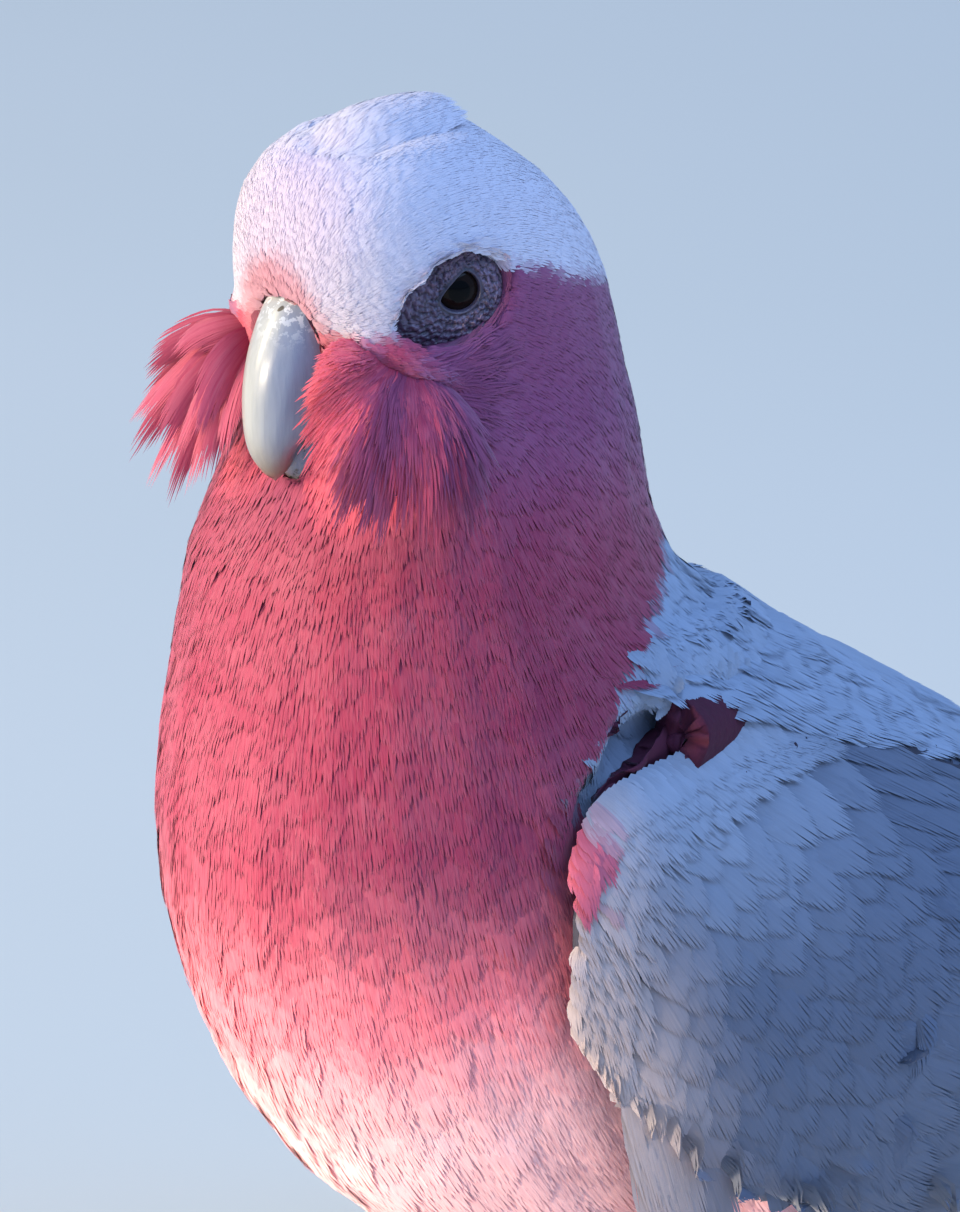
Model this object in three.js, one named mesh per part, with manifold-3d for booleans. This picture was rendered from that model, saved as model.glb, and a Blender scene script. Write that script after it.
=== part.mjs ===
// A life-size standing galah as a still museum model, divided where a person would name its parts.
//
// The bird faces -Y with its left side at +X and stands on the ground plane z = 0. While it is built, y runs
// backwards from the root of the bill. The finished group is moved so that its origin is the bottom centre of
// its box.

import * as THREE from "three";
import { mergeVertices } from "three/addons/utils/BufferGeometryUtils.js";
import Module from "manifold-3d";

const wasm = await Module();
wasm.setup();

// ------------------------------------------------------ driving dimensions, millimetres and degrees

const GAP = 0.35; // clearance between neighbouring pieces
const EYE = { x: 13.7, y: 17.6, z: 193.1, radius: 5.6, turnForward: 25 };
const EYE_RING = { width: 9.2, height: 6.8, depth: 2.4, outwards: 3.2, forwards: 1.5, down: 1, slant: 20 };
const EYE_HOLLOW = { depth: 5.6, outwards: 6.2, rim: 0.8 }; // the dip in the feathers outside the ring
const WING_THICKNESS = { shoulder: 7, tip: 2.2, edge: 1.2 };
const WING_CLEARANCE = 1.6; // between a wing and the flank behind it
const WING_ROOM_DEPTH = 16; // how far outside a wing its room is cut free
const ANKLE = { x: 20.5, y: 77, z: 25 };
const THIGH = {
  line: [[25, 60, 62], [25, 66, 47], [23, 73, 34], [ANKLE.x, ANKLE.y, ANKLE.z - 1]],
  sizes: [[13, 20, 0], [12.5, 17.5, 0], [8.6, 11.5, 0], [4.6, 5.4, 0]], // half width and half depth
  slope: -0.25, // its slices dip towards the tail
};
const SHANK_RADIUS = { root: 2.9, tip: 3.1 };
const FOOT = { x: 21, y: 66, padRadius: 5.2, padLength: 5.8, padHeight: 3.6, padMiddle: 2.6 };
const TOE_RADIUS = { root: 2.9, tip: 2.1 };
const CLAW_RADIUS = { root: 1.6, tip: 0.35 };
const CLAW_START = 1; // beyond the end of its toe

// Slices of the body from the crown down to the vent: the foremost and the rearmost point of each in side
// view as [y, z], its half width, how far back its widest place lies as a share of its length, and how square
// its front half is (2 is an ellipse).
const BODY_SLICES = [
  { name: "crown", front: [16, 215.6], back: [16, 215.6], half: 0, widest: 0.5, square: 2 },
  { name: "upper crown", front: [6.4, 213.8], back: [27.6, 214], half: 9.8, widest: 0.5, square: 2.1 },
  { name: "forehead", front: [0.6, 209.6], back: [35.4, 209.3], half: 16, widest: 0.46, square: 2.4 },
  { name: "high brow", front: [-2.4, 203.4], back: [44.4, 202.2], half: 20, widest: 0.48, square: 2.7 },
  { name: "brow", front: [-3.4, 197], back: [49.7, 194.7], half: 22, widest: 0.51, square: 2.6 },
  { name: "eye", front: [-3.2, 191], back: [53, 187.4], half: 22.6, widest: 0.53, square: 2.6 },
  { name: "lores", front: [-1, 182], back: [55.2, 177.4], half: 23.4, widest: 0.52, square: 2.6 },
  { name: "cheek", front: [1.2, 171.5], back: [58, 166.2], half: 25.8, widest: 0.47, square: 2.8 },
  { name: "chin", front: [-3.6, 161], back: [59.8, 155.4], half: 28.4, widest: 0.45, square: 2.6 },
  { name: "throat", front: [-8.8, 150.5], back: [63.5, 145], half: 31.8, widest: 0.43, square: 2.3 },
  { name: "shoulder", front: [-12.8, 136.5], back: [79, 132], half: 35.6, widest: 0.42, square: 2.1 },
  { name: "upper breast", front: [-16.2, 121], back: [96.5, 119.5], half: 38.2, widest: 0.41, square: 2.05 },
  { name: "breast", front: [-17.4, 105], back: [114.5, 108.5], half: 39.4, widest: 0.4, square: 2 },
  { name: "lower breast", front: [-14, 88], back: [132, 98.5], half: 39.4, widest: 0.39, square: 2 },
  { name: "flank", front: [-6, 71], back: [147.5, 89], half: 38, widest: 0.38, square: 2 },
  { name: "belly", front: [7, 54.5], back: [157.5, 81.5], half: 35, widest: 0.38, square: 2 },
  { name: "lower belly", front: [26, 40], back: [163.5, 76], half: 31, widest: 0.38, square: 2 },
  { name: "thighs", front: [51, 32], back: [167, 72], half: 25.5, widest: 0.38, square: 2 },
  { name: "vent", front: [82, 36], back: [169.5, 69], half: 19, widest: 0.42, square: 2 },
  { name: "undertail", front: [117, 48], back: [171, 66.5], half: 13.5, widest: 0.5, square: 2 },
  { name: "tail root", front: [160, 61], back: [160, 61], half: 0, widest: 0.5, square: 2 },
];
const HEAD_END = 8.3; // where the head is parted from the neck, counted in slices
const NECK_END = 9.8;
const SLICE_GAP = 0.02; // half the cut between two of them, in slices

// Slices of the bill, given the same way. The lower half of the upper one is its hook.
const UPPER_BILL_SLICES = [
  { front: [3.5, 196], back: [3.5, 196], half: 0, widest: 0.6, square: 2 },
  { front: [0.4, 194.2], back: [8, 194.6], half: 4.2, widest: 0.6, square: 2 },
  { front: [-3.6, 190], back: [10, 190.5], half: 6.6, widest: 0.62, square: 2 },
  { front: [-6.4, 184.5], back: [11, 185], half: 7.4, widest: 0.62, square: 2 },
  { front: [-7.9, 178.5], back: [9.5, 179], half: 7.1, widest: 0.6, square: 2 },
  { front: [-8, 173], back: [5, 174], half: 6, widest: 0.58, square: 2 },
  { front: [-7.2, 168.8], back: [-0.4, 170.5], half: 4.2, widest: 0.55, square: 2 },
  { front: [-5.4, 165.8], back: [-1.4, 167], half: 2.4, widest: 0.5, square: 2 },
  { front: [-3.4, 164.2], back: [-3.4, 164.2], half: 0, widest: 0.5, square: 2 },
];
const LOWER_BILL_SLICES = [
  { front: [9, 177], back: [9, 177], half: 0, widest: 0.6, square: 2 },
  { front: [1, 175], back: [13, 176], half: 5.4, widest: 0.6, square: 2 },
  { front: [-1.6, 171], back: [14, 171], half: 6.2, widest: 0.6, square: 2 },
  { front: [-2, 166.6], back: [13, 166], half: 5.4, widest: 0.6, square: 2 },
  { front: [0.4, 163.4], back: [10, 163], half: 3.4, widest: 0.6, square: 2 },
  { front: [5, 162.2], back: [5, 162.2], half: 0, widest: 0.6, square: 2 },
];

// Stations of the folded left wing from its bend to its tip. Each gives as [x, y, z] the upper edge on the
// back, the line where the wing stands out most, and the lower edge.
const WING_STATIONS = [
  { upper: [37, 24, 121], side: [42.4, 17.5, 104.5], lower: [39.5, 18.5, 86] },
  { upper: [34, 38, 127.5], side: [45.5, 36, 101], lower: [41.5, 35, 66] },
  { upper: [23, 68, 129.5], side: [46.5, 68, 96], lower: [40, 70, 47] },
  { upper: [10, 106, 114], side: [43, 106, 84.5], lower: [33, 110, 41.5] },
  { upper: [5, 150, 89.5], side: [34, 148, 65], lower: [26.5, 152, 34.5] },
  { upper: [5.5, 190, 67.5], side: [25.5, 190, 49.5], lower: [22, 194, 28] },
  { upper: [9, 226, 47.5], side: [19, 227, 37], lower: [18.5, 230, 25] },
  { upper: [13, 256, 27], side: [14, 256.5, 26], lower: [14.5, 256, 25] },
];
// Where each part of the wing ends, as a share of its length.
const WING_PARTS = { coverts: 0.36, secondaries: 0.7 };
const WING_SEAM = { wave: 0.05, middle: 0.35, tipDepth: 0.012, halfGap: GAP / 500 }; // shares of its length

const TAIL = {
  root: [0, 158, 72], tip: [0, 283, 12], rootHalf: 13, tipHalf: 25, sag: 5, plate: 2.4, clearance: 1.2,
  centreFrom: 0.34, centreTo: 0.66, centreLift: 0.9, sideLift: -0.4, tipLength: 0.035, tipCurve: 0.1,
};

// The left cheek: where its feathers spring from, where they end, and how far the fan bulges between the two,
// from the front lobe round below to the rear one.
const CHEEK = {
  roots: [
    [11, 2, 184.5], [12.5, 3.5, 181], [13.5, 5.5, 179.5], [15.5, 8, 180], [17, 10.5, 182], [18.5, 13, 183],
  ],
  tips: [
    [9.2, -4, 180.5], [10.5, -6.8, 171], [13, -8.6, 161.5], [21, -7.8, 157.2],
    [29.5, -4, 157.5], [31.5, 5, 160.5], [27, 14, 172.5],
  ],
  bulge: [
    [1, -1, 0.4], [1.6, -1.8, 0.8], [2.4, -3, 1.4], [3.6, -3.4, 2.2],
    [4.6, -2.6, 2.4], [3.4, -1.4, 2], [1.6, -0.6, 1],
  ],
  scallop: 0.07, lobes: 6, edge: 0.7, middle: 3,
};

// The cape over the shoulders, counted in slices of the body and degrees either side of the back.
const MANTLE = {
  from: 9.72, to: 12.8, spread: 74, widening: 0.12, sideRise: 1.1, frontRise: 0.15, above: 2.4, below: 2.2,
};
const CREST = {
  line: [[4, 211.6], [9.6, 214.6], [16, 215.8], [22.5, 215.7], [28.6, 214.7]],
  half: 9, roundness: 19, above: 0.5, below: 1.6,
};

// Toes of one foot: heading in degrees from straight ahead, positive outwards, and lengths of toe and claw.
const TOES = [
  { name: "front_inner", heading: -10, length: 20, claw: 8 },
  { name: "front_outer", heading: 17, length: 26, claw: 9 },
  { name: "back_outer", heading: 152, length: 21, claw: 9 },
  { name: "back_inner", heading: 196, length: 13, claw: 7 },
];

// ---------------------------------------------------------------- materials

function finish(color, roughness) {
  return new THREE.MeshStandardMaterial({ color, roughness, metalness: 0 });
}

const MATERIALS = {
  crown_white: finish(0xf1dfe2, 0.85),
  rose_pink: finish(0xdb5f74, 0.85),
  wing_grey: finish(0x8b95a8, 0.8),
  flight_grey: finish(0x5c6373, 0.7),
  bill_horn: finish(0xdcdcd6, 0.35),
  eye_dark: finish(0x120d0c, 0.08),
  bare_skin: finish(0x6a5f72, 0.6),
  leg_scale: finish(0x77706e, 0.6),
  claw_horn: finish(0x4b4644, 0.4),
};

// ---------------------------------------------------------------- small tools

const vec = (p) => new THREE.Vector3(...p);
const inSideView = ([y, z]) => new THREE.Vector3(0, y, z);
const through = (points) => new THREE.CatmullRomCurve3(points, false, "catmullrom", 0.5);
const clamp01 = (t) => THREE.MathUtils.clamp(t, 0, 1);
const shares = (count) => Array.from({ length: count + 1 }, (_, i) => i / count);
const mix = THREE.MathUtils.lerp;
const radians = THREE.MathUtils.degToRad;

/** A point of a curve, which is taken to run straight on beyond its ends. */
function pointOn(curve, t) {
  const point = curve.getPoint(clamp01(t));
  const excess = t - clamp01(t);
  if (excess) point.addScaledVector(curve.getTangent(clamp01(t)), excess * curve.getLength());
  return point;
}

/** A closed geometry from a list of points and of triangles, turned so that its faces point out. */
function closedGeometry(points, faces) {
  let volume = 0;
  for (let i = 0; i < faces.length; i += 3) {
    const [a, b, c] = [points[faces[i]], points[faces[i + 1]], points[faces[i + 2]]];
    volume += a.dot(new THREE.Vector3().crossVectors(b, c));
  }
  const geometry = new THREE.BufferGeometry().setFromPoints(points);
  geometry.setIndex(volume < 0 ? faces.slice().reverse() : faces);
  geometry.computeVertexNormals();
  return geometry;
}

/** Joins rings of equally many points, and closes each end with a fan to its tip or to the ring's middle. */
function loft(rings, startTip, endTip) {
  const around = rings[0].length;
  const points = rings.flat();
  const faces = [];
  for (let i = 0; i + 1 < rings.length; i++) {
    for (let k = 0; k < around; k++) {
      const a = i * around + k;
      const b = i * around + ((k + 1) % around);
      faces.push(a, b, b + around, a, b + around, a + around);
    }
  }
  const middle = (ring) => ring.reduce((sum, p) => sum.add(p), new THREE.Vector3()).divideScalar(around);
  const last = (rings.length - 1) * around;
  const start = points.push(startTip ?? middle(rings[0])) - 1;
  const end = points.push(endTip ?? middle(rings.at(-1))) - 1;
  for (let k = 0; k < around; k++) {
    const next = (k + 1) % around;
    faces.push(start, next, k, end, last + k, last + next);
  }
  return closedGeometry(points, faces);
}

/** The surface that a list of slices describes, from a place along it in slices and an angle round it. */
function sliceSurface(slices) {
  const front = through(slices.map((s) => inSideView(s.front)));
  const back = through(slices.map((s) => inSideView(s.back)));
  const breadth = through(slices.map((s) => new THREE.Vector3(s.half, s.widest, s.square)));
  return (place, angle, grow = 0) => {
    const t = place / (slices.length - 1);
    const [f, b] = [front.getPoint(t), back.getPoint(t)];
    const { x: half, y: widest, z: square } = breadth.getPoint(t);
    const centre = f.clone().lerp(b, widest);
    const isFront = Math.sin(angle) > 0;
    const reach = isFront ? f.sub(centre) : centre.clone().sub(b);
    reach.setLength(reach.length() + grow);
    const power = 2 / (isFront ? square : 2);
    const [c, s] = [Math.cos(angle), Math.sin(angle)].map((w) => Math.sign(w) * Math.abs(w) ** power);
    return centre.addScaledVector(reach, s).setX((half + grow) * c);
  };
}

/** A solid between two places along a slice surface. An end at the first or last slice closes in a point. */
function sliceLoft(slices, { from = 0, to = slices.length - 1, rings = 24, around = 32, grow = 0 }) {
  const surface = sliceSurface(slices);
  const atStart = from === 0;
  const atEnd = to === slices.length - 1;
  const places = shares(rings).map((s) => mix(from, to, s));
  const kept = places.slice(atStart ? 1 : 0, atEnd ? -1 : undefined);
  const ringAt = (place) => shares(around).slice(1).map((s) => surface(place, 2 * Math.PI * s, grow));
  const top = inSideView(slices[0].front).add(new THREE.Vector3(0, 0, grow));
  const bottom = inSideView(slices.at(-1).front).add(new THREE.Vector3(0, 0, -grow));
  return loft(kept.map(ringAt), atStart ? top : undefined, atEnd ? bottom : undefined);
}

/** A closed shell over a surface of two shares, u and v: outer(u, v) above it and inner(u, v) below. */
function shell(surface, { u: [u0, u1], v: [v0, v1], steps: [nu, nv], outer, inner, side = 1 }) {
  const step = 1e-3;
  const normal = (u, v) => {
    const alongU = surface(u + step, v).sub(surface(u - step, v));
    const alongV = surface(u, v + step).sub(surface(u, v - step));
    return alongU.cross(alongV).normalize().multiplyScalar(side);
  };
  const edgeOf = (bound, other) => (typeof bound === "function" ? bound(other) : bound);
  const points = [];
  const at = (layer, i, j) => (layer * (nu + 1) + i) * (nv + 1) + j;
  for (const layer of [0, 1]) {
    for (let i = 0; i <= nu; i++) {
      for (let j = 0; j <= nv; j++) {
        const v = mix(v0, v1, j / nv);
        const u = mix(edgeOf(u0, v), edgeOf(u1, v), i / nu);
        const reach = layer ? -inner(u, v) : outer(u, v);
        points.push(surface(u, v).addScaledVector(normal(u, v), reach));
      }
    }
  }
  const faces = [];
  const quad = (a, b, c, e) => faces.push(a, b, c, a, c, e);
  for (let i = 0; i < nu; i++) {
    for (let j = 0; j < nv; j++) {
      quad(at(0, i, j), at(0, i + 1, j), at(0, i + 1, j + 1), at(0, i, j + 1));
      quad(at(1, i, j), at(1, i, j + 1), at(1, i + 1, j + 1), at(1, i + 1, j));
    }
    quad(at(0, i, 0), at(1, i, 0), at(1, i + 1, 0), at(0, i + 1, 0));
    quad(at(0, i, nv), at(0, i + 1, nv), at(1, i + 1, nv), at(1, i, nv));
  }
  for (let j = 0; j < nv; j++) {
    quad(at(0, 0, j), at(0, 0, j + 1), at(1, 0, j + 1), at(1, 0, j));
    quad(at(0, nu, j), at(1, nu, j), at(1, nu, j + 1), at(0, nu, j + 1));
  }
  return closedGeometry(points, faces);
}

/** A rod along a curve whose radius changes evenly, with a flat underside where it lies on the ground. */
function taperedRod(points, radii, { steps = 4, around = 6, flat = false } = {}) {
  const curve = through(points);
  const rings = shares(steps).map((t) => {
    const centre = curve.getPoint(t);
    const forward = curve.getTangent(t);
    const across = new THREE.Vector3(0, 0, 1).cross(forward).normalize();
    const upright = forward.clone().cross(across).normalize();
    const radius = mix(radii.root, radii.tip, t);
    return shares(around).slice(1).map((s) => {
      const angle = 2 * Math.PI * (s + 0.5 / around);
      const point = centre.clone().addScaledVector(across, radius * Math.cos(angle));
      point.addScaledVector(upright, radius * Math.sin(angle));
      return flat ? point.setZ(Math.max(point.z, 0)) : point;
    });
  });
  return loft(rings);
}

function ellipsoid(radii, [across, along] = [20, 12]) {
  return new THREE.SphereGeometry(1, across, along).scale(...radii);
}

/** The mirror image of a geometry in the bird's middle plane. */
function mirrored(geometry) {
  const copy = geometry.clone().scale(-1, 1, 1);
  copy.setIndex([...copy.index.array].reverse());
  return copy;
}

// ---------------------------------------------------------------- cutting and joining

function solidOf(geometry) {
  const bare = new THREE.BufferGeometry().setIndex(geometry.index);
  bare.setAttribute("position", geometry.getAttribute("position").clone());
  const merged = mergeVertices(bare, 1e-4);
  const corners = merged.index.array;
  const triangles = [];
  for (let i = 0; i < corners.length; i += 3) {
    const [a, b, c] = [corners[i], corners[i + 1], corners[i + 2]];
    if (a !== b && b !== c && c !== a) triangles.push(a, b, c);
  }
  const vertProperties = new Float32Array(merged.getAttribute("position").array);
  const triVerts = new Uint32Array(triangles);
  return new wasm.Manifold(new wasm.Mesh({ numProp: 3, vertProperties, triVerts }));
}

function geometryOf(solid) {
  const mesh = solid.getMesh();
  const geometry = new THREE.BufferGeometry();
  geometry.setAttribute("position", new THREE.BufferAttribute(new Float32Array(mesh.vertProperties), 3));
  geometry.setIndex(new THREE.BufferAttribute(new Uint32Array(mesh.triVerts), 1));
  geometry.computeVertexNormals();
  return geometry;
}

/** A geometry less others. Only its largest piece is kept, so that no crumb is left where surfaces graze. */
function without(geometry, ...cutters) {
  const cut = cutters.reduce((solid, cutter) => solid.subtract(solidOf(cutter)), solidOf(geometry));
  const pieces = cut.decompose().sort((a, b) => b.volume() - a.volume());
  return geometryOf(pieces[0]);
}

function joined(...geometries) {
  return geometryOf(geometries.map(solidOf).reduce((sum, solid) => sum.add(solid)));
}

// ---------------------------------------------------------------- head

function eyeball(grow = 0) {
  return ellipsoid(Array(3).fill(EYE.radius + grow), [12, 6]).translate(EYE.x, EYE.y, EYE.z);
}

/** An ellipsoid with the eye ring's outline, which slants down towards the bill. */
function ringEllipsoid(depth, rim, outwards) {
  const lens = ellipsoid([depth, EYE_RING.width + rim, EYE_RING.height + rim], [12, 6]);
  lens.rotateX(radians(EYE_RING.slant)).translate(outwards, -EYE_RING.forwards, -EYE_RING.down);
  return lens.rotateZ(-radians(EYE.turnForward)).translate(EYE.x, EYE.y, EYE.z);
}

/** The room the left eye and its ring take up in the head, with the hollow in the feathers outside them. */
function eyeRoom() {
  const hollow = ringEllipsoid(EYE_HOLLOW.depth, EYE_HOLLOW.rim, EYE_HOLLOW.outwards);
  return joined(hollow, eyeLens(GAP), eyeball(GAP));
}

/** The lens of bare skin round the left eye, facing outwards and a little forwards. */
function eyeLens(grow = 0) {
  return ringEllipsoid(EYE_RING.depth + grow, grow, EYE_RING.outwards);
}

const upperBill = (grow = 0) => sliceLoft(UPPER_BILL_SLICES, { rings: 10, around: 12, grow });
const lowerBill = (grow = 0) => sliceLoft(LOWER_BILL_SLICES, { rings: 5, around: 10, grow });

/** The flat-lying crest, which follows the crown and lifts off it a little at its rear tip. */
function crest(grow = 0) {
  const line = through(CREST.line.map(inSideView));
  const surface = (u, v) => {
    const x = (2 * v - 1) * CREST.half * Math.sqrt(Math.max(1 - (2 * u - 1) ** 4, 0.05));
    return pointOn(line, u).add(new THREE.Vector3(x, 0, (-x * x) / (2 * CREST.roundness)));
  };
  const arch = (v) => 0.35 + 0.65 * Math.sin(Math.PI * clamp01(v));
  const [end, side] = [grow / 30, grow / (2 * CREST.half)];
  return shell(surface, {
    u: [-end, 1 + end], v: [-side, 1 + side], steps: [5, 6],
    outer: (u, v) => CREST.above * arch(v) + grow,
    inner: (u, v) => CREST.below * arch(v) + grow,
  });
}

/** The fan of long cheek feathers on the left, which stands out sideways and forwards over the lower bill. */
function cheekFan(grow = 0) {
  const [roots, tips, bulge] = ["roots", "tips", "bulge"].map((key) => through(CHEEK[key].map(vec)));
  const surface = (u, v) => {
    const scallop = CHEEK.scallop * Math.abs(Math.sin(Math.PI * CHEEK.lobes * v));
    const point = pointOn(roots, v).lerp(pointOn(tips, v), u * (1 - CHEEK.scallop + scallop));
    return point.addScaledVector(pointOn(bulge, v), Math.sin(Math.PI * u * 0.85));
  };
  const fullness = (u, v) => Math.sin(Math.PI * (0.15 + 0.8 * u)) * Math.sin(Math.PI * v);
  const thick = (u, v) => mix(CHEEK.edge, CHEEK.middle, fullness(u, v)) + grow;
  return shell(surface, { u: [0, 1], v: [0.01, 0.99], steps: [3, 12], outer: thick, inner: thick });
}

// ---------------------------------------------------------------- wings, mantle and tail

const wingCurves = ["upper", "side", "lower"].map((line) => {
  return through(WING_STATIONS.map((at) => vec(at[line])));
});

/** The outer face of the folded left wing: u runs from bend to tip, v from the upper to the lower edge. */
function wingFace(u, v) {
  const [upper, side, lower] = wingCurves.map((curve) => pointOn(curve, u));
  const pull = side.clone().multiplyScalar(2).addScaledVector(upper, -0.5).addScaledVector(lower, -0.5);
  const [a, b, c] = [(1 - v) ** 2, 2 * v * (1 - v), v ** 2];
  return upper.multiplyScalar(a).addScaledVector(pull, b).addScaledVector(lower, c);
}

function wingThickness(u, v) {
  const full = mix(WING_THICKNESS.shoulder, WING_THICKNESS.tip, Math.min(1, u * 1.25));
  const round = Math.sqrt(Math.max(Math.sin(Math.PI * clamp01(v)), 0));
  const nose = Math.min(1, 0.35 + 8 * Math.max(u, 0));
  return WING_THICKNESS.edge + (full - WING_THICKNESS.edge) * round * nose;
}

/** One part of the left wing between two lines across it, whose rear edge shows the tips of its feathers. */
function wingPart(from, to, tips) {
  const seam = (share, v) => share + WING_SEAM.wave * Math.cos(2 * Math.PI * (v - WING_SEAM.middle));
  const scallop = (v) => WING_SEAM.tipDepth * Math.abs(Math.sin(Math.PI * tips * v));
  const start = from > 0 ? (v) => seam(from, v) + WING_SEAM.halfGap : 0;
  const end = to < 1 ? (v) => seam(to, v) - WING_SEAM.halfGap - scallop(v) : 1;
  return shell(wingFace, {
    u: [start, end], v: [0, 1], steps: [4, 10], outer: () => 0, inner: wingThickness, side: -1,
  });
}

/** All of the left wing and the room outside it, a little larger, to cut from what it lies against. */
function wingRoom() {
  const [end, edge] = [0.006, 0.02];
  return shell(wingFace, {
    u: [-end, 1 + end], v: [-edge, 1 + edge], steps: [8, 7],
    outer: () => WING_ROOM_DEPTH, inner: (u, v) => wingThickness(u, v) + WING_CLEARANCE, side: -1,
  });
}

/** The grey cape over the shoulders: a patch of the body's back that lies on top of both wings. */
function mantle(grow = 0) {
  const body = sliceSurface(BODY_SLICES);
  const spill = grow / 60;
  const surface = (u, v) => {
    const share = 2 * v - 1;
    const rise = MANTLE.sideRise * Math.abs(share) ** 3 * u + MANTLE.frontRise * share ** 2 * (1 - u);
    const spread = radians(MANTLE.spread) * (1 + MANTLE.widening * u);
    return body(mix(MANTLE.from, MANTLE.to, u) - rise, -Math.PI / 2 + share * spread);
  };
  const soft = (v) => 0.3 + 0.7 * Math.sqrt(Math.sin(Math.PI * THREE.MathUtils.clamp(v, 0.02, 0.98)));
  return shell(surface, {
    u: [-spill, 1 + spill], v: [-spill, 1 + spill], steps: [6, 10],
    outer: (u, v) => MANTLE.above * soft(v) + grow,
    inner: (u, v) => MANTLE.below * soft(v) + grow,
  });
}

/** A tail face: u runs from the root to the tip, v from the left edge to the right one. */
function tailFace(u, v) {
  const along = vec(TAIL.root).lerp(vec(TAIL.tip), u);
  const half = mix(TAIL.rootHalf, TAIL.tipHalf, Math.sin((Math.PI / 2) * Math.min(u * 1.1, 1)));
  const x = (1 - 2 * v) * half;
  const roof = TAIL.sag * (x / TAIL.tipHalf) ** 2;
  return along.add(new THREE.Vector3(x, 0, -roof));
}

/** The folded tail between two shares of its width, with one rounded tip for each feather. */
function tailPart(from, to, feathers, lift) {
  const tip = (v) => {
    const inPart = (v - from) / (to - from);
    const rounded = TAIL.tipLength * (Math.abs(Math.sin(Math.PI * feathers * inPart)) - 1);
    return 1 + rounded - TAIL.tipCurve * (2 * v - 1) ** 2;
  };
  const thick = (v) => TAIL.plate * (0.35 + 0.65 * Math.sin(Math.PI * clamp01((v - from) / (to - from))));
  return shell(tailFace, {
    u: [0, tip], v: [from, to], steps: [4, feathers * 2],
    outer: (u, v) => thick(v) / 2 + lift, inner: (u, v) => thick(v) / 2 - lift, side: -1,
  });
}

/** All of the tail and a little more, to cut from what it lies against. */
function tailRoom() {
  const reach = () => TAIL.plate / 2 + TAIL.clearance;
  return shell(tailFace, {
    u: [-0.01, 1.02], v: [-0.02, 1.02], steps: [6, 10], outer: reach, inner: reach, side: -1,
  });
}

// ---------------------------------------------------------------- legs

/** The feathered thigh of the left leg, from inside the flank down to the ankle. */
function thigh(grow = 0) {
  const line = through(THIGH.line.map(vec));
  const sizes = through(THIGH.sizes.map(vec));
  const rings = shares(6).map((t) => {
    const [centre, size] = [line.getPoint(t), sizes.getPoint(t)];
    return shares(12).slice(1).map((s) => {
      const angle = 2 * Math.PI * s;
      const [x, y] = [(size.x + grow) * Math.cos(angle), (size.y + grow) * Math.sin(angle)];
      return new THREE.Vector3(x, y, THIGH.slope * y).add(centre);
    });
  });
  return loft(rings);
}

/** The bare lower leg, down into the pad of its foot. */
function shank(grow = 0) {
  const radii = { root: SHANK_RADIUS.root + grow, tip: SHANK_RADIUS.tip + grow };
  const middle = [mix(ANKLE.x, FOOT.x, 0.5), mix(ANKLE.y, FOOT.y, 0.5) - 0.6, 15];
  const line = [[ANKLE.x, ANKLE.y, ANKLE.z + 3], middle, [FOOT.x, FOOT.y + 0.6, 3.4]];
  return taperedRod(line.map(vec), radii, { steps: 4, around: 8 });
}

/** The straight line in which a toe points, with places on it by their distance from the pad's middle. */
function toeLine({ heading, length }) {
  const way = new THREE.Vector3(Math.sin(radians(heading)), -Math.cos(radians(heading)), 0);
  const at = (distance, z) => new THREE.Vector3(FOOT.x, FOOT.y, z).addScaledVector(way, distance);
  return { at, end: FOOT.padRadius * 0.5 + length };
}

/** The pad and toes of the left foot, flat below where they stand on the ground. */
function foot() {
  const pad = ellipsoid([FOOT.padRadius, FOOT.padHeight, FOOT.padLength], [10, 5]).rotateX(Math.PI / 2);
  const position = pad.translate(FOOT.x, FOOT.y, FOOT.padMiddle).getAttribute("position");
  for (let i = 0; i < position.count; i++) position.setZ(i, Math.max(position.getZ(i), 0));
  const toes = TOES.map((spec) => {
    const { at, end } = toeLine(spec);
    const line = [at(1, 3.2), at(end * 0.45, 2.9), at(end * 0.75, 2.1), at(end, 1.9)];
    return taperedRod(line, TOE_RADIUS, { steps: 3, flat: true });
  });
  return joined(pad, ...toes);
}

/** The curved claw at the end of a toe, which starts a hair's breadth beyond it. */
function claw(spec) {
  const { at, end } = toeLine(spec);
  const out = (share) => end + spec.claw * share;
  const line = [at(end + CLAW_START, 2.1), at(out(0.35), 3.1), at(out(0.7), 2.6), at(out(0.95), 0.8)];
  return taperedRod(line, CLAW_RADIUS, { steps: 3, around: 5 });
}

// ---------------------------------------------------------------- the whole bird

const galah = new THREE.Group();
galah.name = "galah";

function add(name, geometry, slot) {
  const mesh = new THREE.Mesh(geometry, MATERIALS[slot]);
  mesh.name = name;
  galah.add(mesh);
  return mesh;
}

/** Adds a left piece and its mirror image. A %s in the name becomes left or right. */
function addPair(name, geometry, slot) {
  add(name.replace("%s", "left"), geometry, slot);
  add(name.replace("%s", "right"), mirrored(geometry), slot);
}

const bothSides = (geometry) => [geometry, mirrored(geometry)];

const capeRoom = mantle(2 * GAP);
const headForm = sliceLoft(BODY_SLICES, { to: HEAD_END - SLICE_GAP, rings: 12, around: 24 });
const billRooms = [upperBill(GAP), lowerBill(GAP)];
add("head", without(headForm, ...bothSides(eyeRoom()), ...billRooms, crest(GAP), capeRoom), "crown_white");
add("crest", crest(), "crown_white");
add("upper_bill", upperBill(), "bill_horn");
add("lower_bill", without(lowerBill(), upperBill(GAP)), "bill_horn");
addPair("eye_%s", eyeball(), "eye_dark");
addPair("eye_ring_%s", without(eyeLens(), eyeball(GAP)), "bare_skin");

const headRoom = sliceLoft(BODY_SLICES, { to: NECK_END, rings: 14, around: 24, grow: GAP });
addPair("cheek_%s", without(cheekFan(), headRoom, ...billRooms), "rose_pink");

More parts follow.
